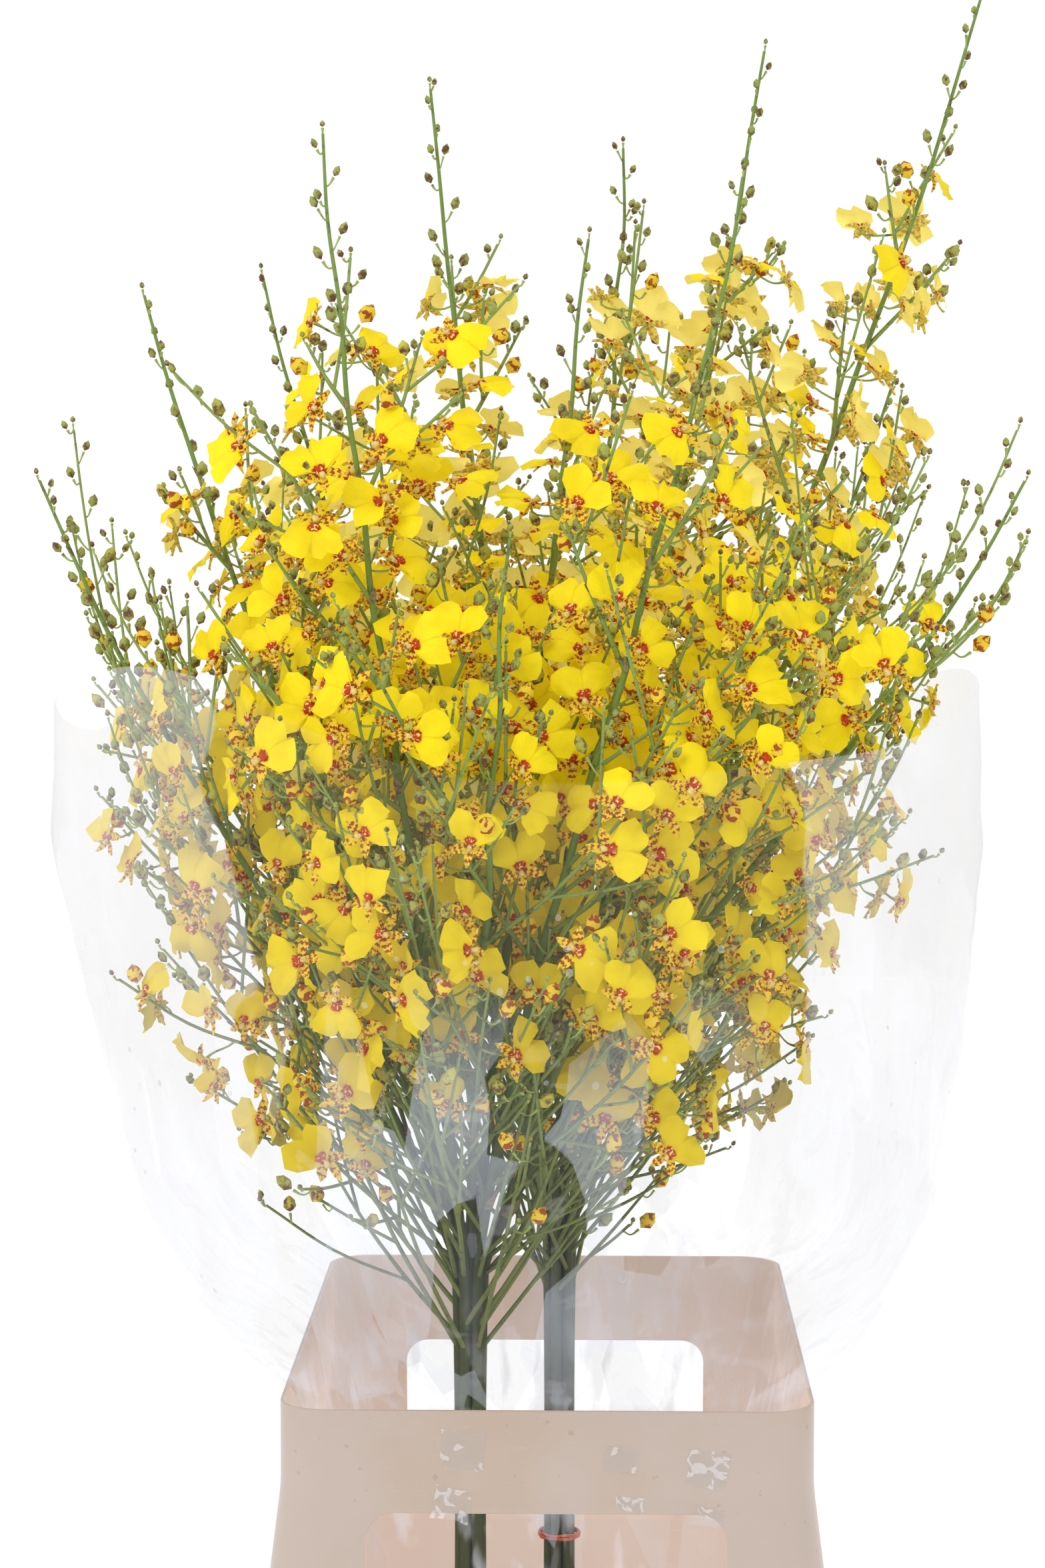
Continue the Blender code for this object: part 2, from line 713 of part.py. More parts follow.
def make_spray(name, spray, group, profiles, finish):
    """One spray: everything that grows on its stem is joined to it by one union."""
    repeats = collection(name + "_repeats")
    stem = make_tube(name, spray["stem"], spray["radii"], profiles["stem"], group)
    for line in spray["branches"]:
        make_tube("branch", line["points"], line["radii"], profiles["branch"], repeats)
    for foot, pose in spray["flowers"]:
        make_flower(foot, pose, repeats)
    for foot, tip, radius in spray["buds"]:
        make_bud(foot, tip, radius, repeats)
    join = stem.modifiers.new("join", "BOOLEAN")
    join.operation = "UNION"
    join.solver = "MANIFOLD"
    join.operand_type = "COLLECTION"
    join.collection = repeats
    bpy.context.view_layer.update()
    mesh = bpy.data.meshes.new_from_object(stem.evaluated_get(bpy.context.evaluated_depsgraph_get()))
    bm = bmesh.new()
    bm.from_mesh(mesh)
    drop_scraps(bm)
    bmesh.ops.dissolve_limit(bm, angle_limit=FLAT, verts=bm.verts, edges=bm.edges)
    bmesh.ops.triangulate(bm, faces=bm.faces)
    bm.to_mesh(mesh)
    bm.free()
    stem.modifiers.clear()
    stem.data = mesh
    mesh.name = name
    mesh.materials.clear()
    mesh.materials.append(finish)
    for item in list(repeats.objects):
        bpy.data.objects.remove(item, do_unlink=True)
    bpy.data.collections.remove(repeats)


def main():
    clear_scene()
    parts = collection("oncidium_sprays_in_bucket")
    window_cutters = collection("window_cutters")
    water_cutters = collection("water_cutters")
    sprays = lay_out_sprays()
    make_bucket(parts)
    make_collar(parts, window_cutters)
    make_water(parts, sprays, water_cutters)
    make_sleeve(parts)
    rubber = material("rubber_band", COLOURS["band"], 0.6)
    make_band("rubber_band_front", FRONT_CLUMP, FRONT_TIPS, FRONT_BAND_Z, parts, rubber)
    make_band("rubber_band_back", BACK_CLUMP, BACK_TIPS, BACK_BAND_Z, parts, rubber)
    profiles = {"stem": tube_profile(5), "branch": tube_profile(3)}
    finish = material("spray", COLOURS["spray"], 0.5)
    for i, spray in enumerate(sprays):
        make_spray(f"spray_{i + 1:02d}", spray, parts, profiles, finish)


main()
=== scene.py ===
"""Cut oncidium sprays in a clear film sleeve, standing in a flower bucket with a raised collar.

Builds the visible pieces round the packed model: the moulded bucket and collar, the film sleeve, the
rubber bands, and on every spray its stems, stalks, flowers and buds. Metres, +Z up.
"""

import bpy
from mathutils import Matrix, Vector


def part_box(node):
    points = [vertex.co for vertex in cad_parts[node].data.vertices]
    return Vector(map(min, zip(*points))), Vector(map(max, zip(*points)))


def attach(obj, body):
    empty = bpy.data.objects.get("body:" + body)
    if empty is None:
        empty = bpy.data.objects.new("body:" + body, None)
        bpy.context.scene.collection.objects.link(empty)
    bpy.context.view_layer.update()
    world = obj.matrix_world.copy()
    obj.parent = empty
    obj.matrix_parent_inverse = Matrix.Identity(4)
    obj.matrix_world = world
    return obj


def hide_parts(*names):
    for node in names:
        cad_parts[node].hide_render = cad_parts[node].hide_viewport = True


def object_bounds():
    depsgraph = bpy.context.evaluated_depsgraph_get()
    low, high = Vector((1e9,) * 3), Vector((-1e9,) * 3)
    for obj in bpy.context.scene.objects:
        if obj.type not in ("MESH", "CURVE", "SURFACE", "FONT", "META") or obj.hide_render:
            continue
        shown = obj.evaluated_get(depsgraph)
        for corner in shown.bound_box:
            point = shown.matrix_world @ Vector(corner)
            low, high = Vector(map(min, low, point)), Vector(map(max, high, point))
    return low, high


bl_info = {
    "name": "Oncidium Sprays in a Flower Bucket",
    "version": (1, 0, 0),
    "blender": (4, 5, 0),
    "location": "3D View > Sidebar > Oncidium",
    "description": "Builds cut oncidium sprays in a film sleeve and a flower bucket",
    "category": "Add Mesh",
}

import itertools
import math
import random

import bmesh
import bpy
import numpy as np
from bpy.props import FloatProperty, FloatVectorProperty, IntProperty, PointerProperty
from mathutils import Matrix, Vector, noise

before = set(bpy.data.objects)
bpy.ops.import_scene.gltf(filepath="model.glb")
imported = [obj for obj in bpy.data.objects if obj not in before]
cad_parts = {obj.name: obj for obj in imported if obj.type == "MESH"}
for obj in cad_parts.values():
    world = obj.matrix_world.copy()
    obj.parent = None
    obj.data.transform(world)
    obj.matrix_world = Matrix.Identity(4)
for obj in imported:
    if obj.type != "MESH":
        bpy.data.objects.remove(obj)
CAD_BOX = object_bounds()
BODY = "root"

# ---------------------------------------------------------------- sizes shared by the pieces
RIM_Z = round(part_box("collar")[1].z, 4)  # top of the collar
TURN = 6.28  # about a full turn, for what may stand at any angle

# ---------------------------------------------------------------- container
GAP = 0.0003  # left between faces that touch
WALL = 0.0025
COLLAR_TOP = (0.140, 0.190)  # half sizes outside, at the rim
COLLAR_SKIRT = (0.1465, 0.1965)  # half sizes outside, below the flare
FLARE_TOP = RIM_Z - 0.045
FLARE_END = RIM_Z - 0.098
CORNER = 0.026
BUCKET_FOOT = (0.118, 0.168)
BUCKET_TOP = (0.1370, 0.1870)
BUCKET_Z = 0.150  # underside of the flange that the collar stands on
FLANGE = 0.0140
FLANGE_LIP = 0.008
WINDOW_WIDTH = 0.187
WINDOW_Z = (0.176, RIM_Z - 0.054)
WINDOW_CORNER = 0.014
SOFT = 0.006  # rounding of the flare's two bends

# ---------------------------------------------------------------- film sleeve
FILM = 0.0008
FILM_LEAN = -0.020  # how far the sleeve's mouth stands off centre along X
# Height above the rim, half sizes along X and Y, and how square the section is.
FILM_ROWS = (
    (-0.120, 0.112, 0.158, 3.5),
    (-0.004, 0.1368, 0.1868, 8.0),
    (0.0008, COLLAR_TOP[0] - WALL - GAP, COLLAR_TOP[1] - WALL - GAP, 8.0),
    (0.033, 0.186, 0.214, 4.0),
    (0.085, 0.219, 0.234, 3.0),
    (0.180, 0.240, 0.249, 2.4),
    (0.275, 0.251, 0.258, 2.2),
    (0.400, 0.249, 0.256, 2.2),
)
FILM_TOP = 0.352  # mean height of the mouth above the rim
FILM_WAVES = ((2, 0.012, 0.6), (3, 0.014, 2.3), (5, 0.008, 0.9))  # count, height, phase
FILM_FOLDS = ((5, 0.0050, 1.2), (7, 0.0035, 0.4))  # count, depth, phase

# ---------------------------------------------------------------- sprays
STEM_FOOT = 0.0030  # radius where it was cut
STEM_TIP = 0.0008
BRANCH_FOOT = 0.0014  # radius where it leaves the stem
BRANCH_TIP = 0.0007
CLUMP_PITCH = 0.0074  # from stem to stem inside a rubber band
CLUMP_SPREAD = 1.5  # how much further apart the stems bend above the band
FRONT_CLUMP = (-0.044, -0.060)
BACK_CLUMP = (0.004, 0.080)
FRONT_SPREAD_Z = RIM_Z + 0.030  # the stems stand upright up to here
BACK_SPREAD_Z = RIM_Z + 0.020
FRONT_BAND_Z = RIM_Z - 0.165  # middle heights of the rubber bands
BACK_BAND_Z = RIM_Z - 0.145
BAND_THICK = 0.0022
BAND_STEPS = 40  # points in each turn of a band
# Spray tips: x, y and height above the rim, then how far the stem bows along Y.
FRONT_TIPS = (
    (0.020, -0.020, 0.615, -0.03),
    (-0.118, -0.130, 0.660, -0.09),
    (0.101, -0.150, 0.635, -0.09),
    (-0.220, -0.060, 0.582, -0.02),
    (0.258, -0.060, 0.481, -0.05),
    (-0.270, -0.110, 0.481, -0.04),
    (-0.020, -0.215, 0.450, -0.05),
)
BACK_TIPS = (
    (-0.070, 0.050, 0.707, 0.00),
    (0.240, 0.020, 0.752, 0.02),
    (0.123, 0.110, 0.736, 0.02),
    (0.043, 0.165, 0.686, 0.05),
    (-0.174, 0.110, 0.606, 0.02),
    (0.205, 0.150, 0.545, 0.04),
    (-0.105, 0.225, 0.505, 0.05),
)
NODE_STEP = 0.050  # from side branch to side branch
BRANCHES_FROM = 0.045  # height above the rim of a spray's lowest branch
BRANCH_LONG = 0.235  # length of a spray's lowest branch, and of its highest
BRANCH_SHORT = 0.050
BRANCH_ROOM = 0.010  # from a branch to the film
FLOWER_STEP = 0.054  # between the flowers and buds that the sprays of the packed model have
BUD_STEP = 0.080
PEDICEL = 0.018  # from the stem to a flower's middle
CLEARANCE = 0.0008  # kept between one spray and the next
BUD_REACH = 0.019  # from the stem to the tip of a full-sized bud
BUD_RADIUS = 0.0027
BUD_ROOM = 0.003  # from a bud's tip to the film
STALK_RADIUS = 0.001  # room that a flower's stalk needs

# Balls that cover a flower when its neighbours are tested: x, y and radius.
FLOWER_BALLS = (
    (0.0, 0.0, 0.0075),
    (0.009, -0.0115, 0.0093),
    (-0.009, -0.0115, 0.0093),
    (0.0, 0.008, 0.0060),
    (0.007, 0.0045, 0.0055),
    (-0.007, 0.0045, 0.0055),
)


# ================================================================ layout of the film
def film_section(height):
    """Half sizes, squareness and centre of the sleeve at a height above the rim."""
    rows = FILM_ROWS
    height = min(max(height, rows[0][0]), rows[-1][0])
    for low, high in zip(rows, rows[1:]):
        if height <= high[0]:
            t = (height - low[0]) / (high[0] - low[0])
            sizes = [a + (b - a) * t for a, b in zip(low[1:], high[1:])]
            break
    rise = min(max(height / 0.3, 0.0), 1.0)
    return sizes[0], sizes[1], sizes[2], FILM_LEAN * rise, rise


def film_radius(angle, height):
    """Distance from the section's centre to the film's outer face."""
    half_x, half_y, square, _, rise = film_section(height)
    c, s = abs(math.cos(angle)), abs(math.sin(angle))
    radius = ((c / half_x) ** square + (s / half_y) ** square) ** (-1.0 / square)
    folds = sum(depth * math.cos(n * angle + phase) for n, depth, phase in FILM_FOLDS)
    return radius + folds * rise


def film_mouth(angle):
    """Height of the sleeve's mouth above the rim."""
    return FILM_TOP + sum(h * math.sin(n * angle + phase) for n, h, phase in FILM_WAVES)


def film_allows(point, room):
    """True where a point keeps its room inside the film, or lies over the mouth."""
    height = point[2] - RIM_Z
    centre = film_section(height)[3]
    x, y = point[0] - centre, point[1]
    angle = math.atan2(y, x)
    if height > film_mouth(angle) + room:
        return True
    if height < 0.0:
        room += WALL
    return math.hypot(x, y) < film_radius(angle, height) - FILM - room


# ================================================================ layout of the sprays
class Crowd:
    """All stem pieces and flowers so far, as thick segments sorted into cubes by place."""

    SIDE = 0.022  # of a cube
    WIDEST = 0.0095 + CLEARANCE  # no segment is thicker
    MOST = 60000  # segments

    def __init__(self):
        self.start = np.zeros((self.MOST, 3))
        self.end = np.zeros((self.MOST, 3))
        self.radius = np.zeros(self.MOST)
        self.group = np.zeros(self.MOST, int)
        self.count = 0
        self.cubes = {}

    def cubes_of(self, start, end, room):
        """The cubes that a segment touches, with some room round it."""
        low = np.floor((np.minimum(start, end) - room) / self.SIDE).astype(int)
        high = np.floor((np.maximum(start, end) + room) / self.SIDE).astype(int)
        spans = (range(a, b + 1) for a, b in zip(low, high))
        return itertools.product(*spans)

    def add(self, start, end, radius, group):
        i = self.count
        self.start[i], self.end[i], self.radius[i], self.group[i] = start, end, radius, group
        self.count += 1
        for cube in self.cubes_of(start, end, 0.0):
            self.cubes.setdefault(cube, []).append(i)

    def add_line(self, points, radii, group):
        for i in range(len(points) - 1):
            self.add(points[i], points[i + 1], max(radii[i], radii[i + 1]), group)

    def is_free(self, start, end, radius, skip=()):
        """True where a segment stays clear of all groups but those to skip."""
        near = set()
        for cube in self.cubes_of(start, end, radius + self.WIDEST):
            near.update(self.cubes.get(cube, ()))
        if not near:
            return True
        near = np.array(sorted(near))
        near = near[~np.isin(self.group[near], skip)]
        reach = self.radius[near] + radius + CLEARANCE
        return bool((gaps_between(start, end, self.start[near], self.end[near]) > reach).all())

    def line_is_free(self, points, radii, skip=()):
        return all(self.is_free(a, b, r, skip) for a, b, r in zip(points, points[1:], radii))


def gaps_between(p, q, a, b):
    """Shortest distances from the segment p-q to each of the segments a-b."""
    u, v, w = q - p, b - a, p - a
    uu = max(float(u @ u), 1e-12)
    vv = np.maximum((v * v).sum(1), 1e-12)
    uv, uw, vw = v @ u, w @ u, (v * w).sum(1)
    area = uu * vv - uv * uv
    s = np.clip(np.where(area > 1e-15, (uv * vw - uw * vv) / np.maximum(area, 1e-15), 0.0), 0, 1)
    t = np.clip((uv * s + vw) / vv, 0, 1)
    s = np.clip((uv * t - uw) / uu, 0, 1)
    gap = w + s[:, None] * u - t[:, None] * v
    return np.sqrt((gap * gap).sum(1))


def unit(vector):
    """A direction made 1 long."""
    return vector / max(float(np.linalg.norm(vector)), 1e-9)


def across(direction, angle):
    """A unit vector square to a direction, turned about it by an angle."""
    side = np.cross(direction, (0.0, 0.0, 1.0))
    if np.linalg.norm(side) < 0.05:
        side = np.array((1.0, 0.0, 0.0))
    side = unit(side)
    return side * math.cos(angle) + np.cross(direction, side) * math.sin(angle)


def bezier(a, b, c, d, t):
    """A place on the curve from a to d that is drawn towards b and c."""
    return (1 - t) ** 3 * a + 3 * t * (1 - t) ** 2 * b + 3 * t * t * (1 - t) * c + t**3 * d


def outward(spot):
    """The compass angle of a place, seen from the middle of the film's mouth."""
    return math.atan2(*(spot[:2] - np.array((FILM_LEAN, 0.0)))[::-1])


def turn_towards(forward, angle):
    """How far a branch turns about its stem's direction to point at a compass angle."""
    aim = np.array((math.cos(angle), math.sin(angle), 0.0))
    return math.atan2(aim @ across(forward, math.pi / 2), aim @ across(forward, 0.0))


def clump_places(centre, tips):
    """Where each stem of a bunch stands: packed close, in the order in which the sprays lean."""
    places = np.array([tip[:2] for tip in tips])
    places = places - places.mean(0)
    places = places * CLUMP_PITCH / np.abs(places).max()
    for turn in range(300):
        if turn < 240:
            places = places * 0.97
        for i in range(len(places)):
            for j in range(i):
                apart = places[i] - places[j]
                gap = max(float(np.linalg.norm(apart)), 1e-6)
                push = max(0.0, CLUMP_PITCH - gap) * 0.5 * apart / gap
                places[i] += push
                places[j] -= push
    return places - places.mean(0) + np.array(centre)


def stem_line(place, centre, tip, spread_z, rng):
    """A main stem: upright past its band, then a curve to its tip with a small zigzag at the nodes."""
    spread = np.append(place - np.array(centre), 0.0) * CLUMP_SPREAD
    foot = np.array((place[0], place[1], WALL + GAP))
    bend = np.array((place[0], place[1], spread_z + 0.012))
    end = np.array((tip[0], tip[1], RIM_Z + tip[2]))
    lean = end - bend
    bow = np.array((0.0, tip[3], 0.0))
    low = bend + lean * (0.07, 0.07, 0.28) + bow * 0.4 + spread
    high = end - lean * (0.24, 0.24, 0.32) + bow
    count = max(8, round(float(np.linalg.norm(lean)) / NODE_STEP))
    points = [foot, bend]
    for i in range(1, count + 1):
        spot = bezier(bend, low, high, end, i / count)
        if i > 2:
            zig = rng.uniform(0.0010, 0.0022) * (-1) ** i
            spot = spot + across(unit(lean), rng.uniform(-0.5, 0.5)) * zig
        points.append(spot)
    radii = [STEM_FOOT, STEM_FOOT]
    radii += [STEM_FOOT + (STEM_TIP - STEM_FOOT) * (i / count) ** 1.2 for i in range(1, count + 1)]
    return points, radii


def branch_line(foot, forward, turn, length, rng):
    """A side branch: away from the stem at a slant, then bending up."""
    steps = max(2, min(3, round(length / 0.055)))
    way = unit(unit(forward) + across(unit(forward), turn) * rng.uniform(0.75, 1.0))
    points = [foot]
    for i in range(steps):
        stray = np.array([rng.uniform(-0.09, 0.09) for _ in "xyz"])
        way = unit(way + np.array((0.0, 0.0, 0.16)) + stray)
        points.append(points[-1] + way * length / steps)
    radii = [BRANCH_FOOT + (BRANCH_TIP - BRANCH_FOOT) * i / steps for i in range(steps + 1)]
    return points, radii


def fits_film(points, room):
    """True where a line keeps its room from the film all the way."""
    for a, b in zip(points, points[1:]):
        parts = max(2, math.ceil(float(np.linalg.norm(b - a)) / 0.006))
        if not all(film_allows(a + (b - a) * i / parts, room) for i in range(1, parts + 1)):
            return False
    return True


def grow_branches(spray, crowd, rng):
    """Adds a spray's side branches, outward first, each where it is free."""
    stem = spray["stem"]
    nodes = [i for i, p in enumerate(stem) if p[2] > RIM_Z + BRANCHES_FROM and i < len(stem) - 3]
    for count, i in enumerate(nodes):
        share = count / max(1, len(nodes) - 1)
        length = BRANCH_SHORT + (BRANCH_LONG - BRANCH_SHORT) * (1 - share) ** 0.8
        forward = unit(stem[i + 1] - stem[i - 1])
        out = outward(stem[i])
        for attempt in range(26):
            swing = (count % 3 - 1) * 1.9 + rng.uniform(-0.6, 0.6) * (1 + 0.12 * attempt)
            turn = turn_towards(forward, out + swing)
            reach = length * rng.uniform(0.85, 1.15) * 0.975**attempt
            points, radii = branch_line(stem[i], forward, turn, reach, rng)
            own = spray["group"]
            if fits_film(points, BRANCH_ROOM) and crowd.line_is_free(points, radii, [own]):
                group = own + 1 + len(spray["branches"])
                crowd.add_line(points, radii, group)
                spray["branches"].append({"points": points, "radii": radii, "group": group})
                break


def along(points, distance):
    """The point and direction at a distance along a line."""
    for a, b in zip(points, points[1:]):
        step = float(np.linalg.norm(b - a))
        if distance <= step:
            return a + (b - a) * distance / step, (b - a) / step
        distance -= step
    return points[-1], unit(points[-1] - points[-2])


def length_of(points):
    """The length of a line through points."""
    return sum(float(np.linalg.norm(b - a)) for a, b in zip(points, points[1:]))


def flower_pose(foot, forward, turn, rng):
    """Where a flower sits and how it is turned: centre, then its right, up and facing.

    The sprays hang over as they grow and are stood upright when cut, so the lips, which point
    against up, lie along the branch or out to a side.
    """
    stalk = unit(across(forward, turn) + forward * 0.35 + np.array((0.0, 0.0, 0.10)))
    centre = foot + stalk * PEDICEL * rng.uniform(0.85, 1.15)
    out = unit((centre - np.array((FILM_LEAN, 0.0, RIM_Z + 0.22))) * (1.0, 1.0, 0.4))
    jitter = np.array([rng.uniform(-0.45, 0.45) for _ in "xyz"])
    face = unit(stalk * 0.45 + out * 0.9 + jitter)
    sway = np.array([rng.uniform(-0.7, 0.7) for _ in "xyz"])
    lip = forward * 0.55 + stalk * 0.45 + sway
    right = unit(np.cross(face, lip))
    return centre, right, np.cross(face, right), face


def balls_of(pose):
    """The balls that cover a flower: middle and radius."""
    centre, right, up, _ = pose
    return [(centre + right * x + up * y, radius) for x, y, radius in FLOWER_BALLS]


def flower_is_free(pose, foot, crowd, skip):
    """True where a flower and its stalk clear the film and everything but what it grows on."""
    for spot, radius in balls_of(pose):
        if not film_allows(spot, radius + 0.001) or not crowd.is_free(spot, spot, radius, skip):
            return False
    return crowd.is_free(foot, pose[0], STALK_RADIUS, skip)


def walk(points, start, stop, step, spread, rng):
    """Places along a line about a step apart: distance, foot and direction of each."""
    distance = start
    while distance < stop:
        yield distance, *along(points, distance)
        distance += step * rng.uniform(1 - spread, 1 + spread)


def add_flowers(spray, line, start, stop, crowd, rng):
    """Flowers along a line of a spray, turned from side to side."""
    places = walk(line["points"], start, stop, FLOWER_STEP, 0.1, rng)
    for count, (_, foot, forward) in enumerate(places):
        for attempt in range(12):
            turn = math.pi * (count % 2) + rng.uniform(-0.5, 0.5) * (1 + 0.3 * attempt)
            pose = flower_pose(foot, forward, turn, rng)
            if flower_is_free(pose, foot, crowd, [line["group"]]):
                for spot, radius in balls_of(pose):
                    crowd.add(spot, spot, radius, line["group"])
                spray["flowers"].append((foot, pose))
                break


def add_buds(spray, line, start, stop, crowd, rng):
    """Buds along the end of a line, smaller towards its tip."""
    places = walk(line["points"], start, stop - 0.004, BUD_STEP, 0.15, rng)
    for count, (distance, foot, forward) in enumerate(places):
        size = 1.0 - 0.45 * (distance - start) / max(stop - start, 0.001)
        for attempt in range(8):
            side = across(forward, math.pi * (count % 2) + rng.uniform(-0.6, 0.6) * (1 + attempt))
            tip = foot + unit(forward + side * 0.9) * BUD_REACH * size
            radius = BUD_RADIUS * size
            if film_allows(tip, BUD_ROOM) and crowd.is_free(foot, tip, radius, [line["group"]]):
                crowd.add(foot, tip, radius, line["group"])
                spray["buds"].append((foot, tip, radius))
                break


def lay_out_sprays():
    """All sprays: stems first, then branches, then flowers and buds, so that none cross."""
    crowd = Crowd()
    sprays = []
    bunches = ((FRONT_CLUMP, FRONT_TIPS, FRONT_SPREAD_Z), (BACK_CLUMP, BACK_TIPS, BACK_SPREAD_Z))
    for centre, tips, spread_z in bunches:
        for place, tip in zip(clump_places(centre, tips), tips):
            group = 100 * len(sprays)
            stem, radii = stem_line(place, centre, tip, spread_z, random.Random(group + 7))
            crowd.add_line(stem, radii, group)
            spray = {"stem": stem, "radii": radii, "group": group}
            sprays.append(spray | {"branches": [], "flowers": [], "buds": []})
    for spray in sprays:
        grow_branches(spray, crowd, random.Random(spray["group"] + 11))
    for spray in sprays:
        rng = random.Random(spray["group"] + 13)
        stem = {"points": spray["stem"], "group": spray["group"]}
        top = length_of(spray["stem"])
        add_flowers(spray, stem, top - 0.255, top - 0.135, crowd, rng)
        add_buds(spray, stem, top - 0.125, top, crowd, rng)
        for line in spray["branches"]:
            reach = length_of(line["points"])
            add_flowers(spray, line, max(0.022, 0.34 * reach), 0.80 * reach, crowd, rng)
            add_buds(spray, line, 0.83 * reach, reach, crowd, rng)
    return sprays, crowd


# ================================================================ what the sprays carry besides
FLOWER_GROUP = 5000  # the crowd's number for flowers that are no line's own
OPEN_LOW, OPEN_LESS = 0.86, 0.38  # share of a branch with open flowers, and what its top loses
OPEN_CLIMB = 0.46  # share of a spray's height from which it has fewer
THIN_BELOW = (0.09, 0.31)  # heights above the rim between which the flowers grow dense
THIN_MIDDLE = 0.8  # how much higher than at the sides they do so in the middle
BRUSH_FROM = 0.145  # branches that end this far to a side carry a brush of buds,
BRUSH_LOW, BRUSH_HIGH = 0.24, 0.46  # if their ends stand between these heights above the rim
BRUSH_SHARES = (0.48, 0.60, 0.72, 0.84)  # where its twigs stand along the branch
BRUSH_RADII = (0.0010, 0.0009, 0.0008, 0.0007, 0.0007, 0.0006)
SHOOT_REACH = (0.15, 0.27)  # shortest and longest of each kind
TWIG_REACH = (0.050, 0.105)
BRUSH_REACH = (0.08, 0.17)
TWIG_TIP = 0.0008
SHOOT_ROOM, BRUSH_ROOM = 0.008, 0.006  # from them to the film
SHOOT_BARE, TWIG_BARE, BRUSH_BARE = 0.42, 0.25, 1.0  # share of their length without flowers
VIEW_SPRAYS = (1, 2)  # their stems stand free in front, and no further flower covers them
VIEW_AHEAD = (0.02, 0.04, 0.06)  # how far in front of them the room is kept
VIEW_RADIUS = 0.004
BUDS_APART = 0.0055  # between the tips of two buds of a spray
FURTHER_BUD = (0.0026, 0.021)  # radius and reach
LAST_BUD = (0.0012, 0.008)  # of the one at the end of each line


def open_until(line, spray):
    """The share of a line up to which its flowers are open: less towards the top of a spray."""
    climb = (line["points"][0][2] - RIM_Z) / (spray["stem"][-1][2] - RIM_Z)
    return OPEN_LOW - OPEN_LESS * min(max((climb - OPEN_CLIMB) / 0.3, 0.0), 1.0)


def grown_lines(spray):
    """All lines of a spray, the stem first."""
    stem = {"points": spray["stem"], "radii": spray["radii"], "group": spray["group"]}
    return [stem] + spray["branches"] + spray["twigs"]


def held(points):
    """True where all points lie inside the box of the packed model."""
    low, high = CAD_BOX
    return all(low[i] < p[i] < high[i] for p in points for i in range(3))


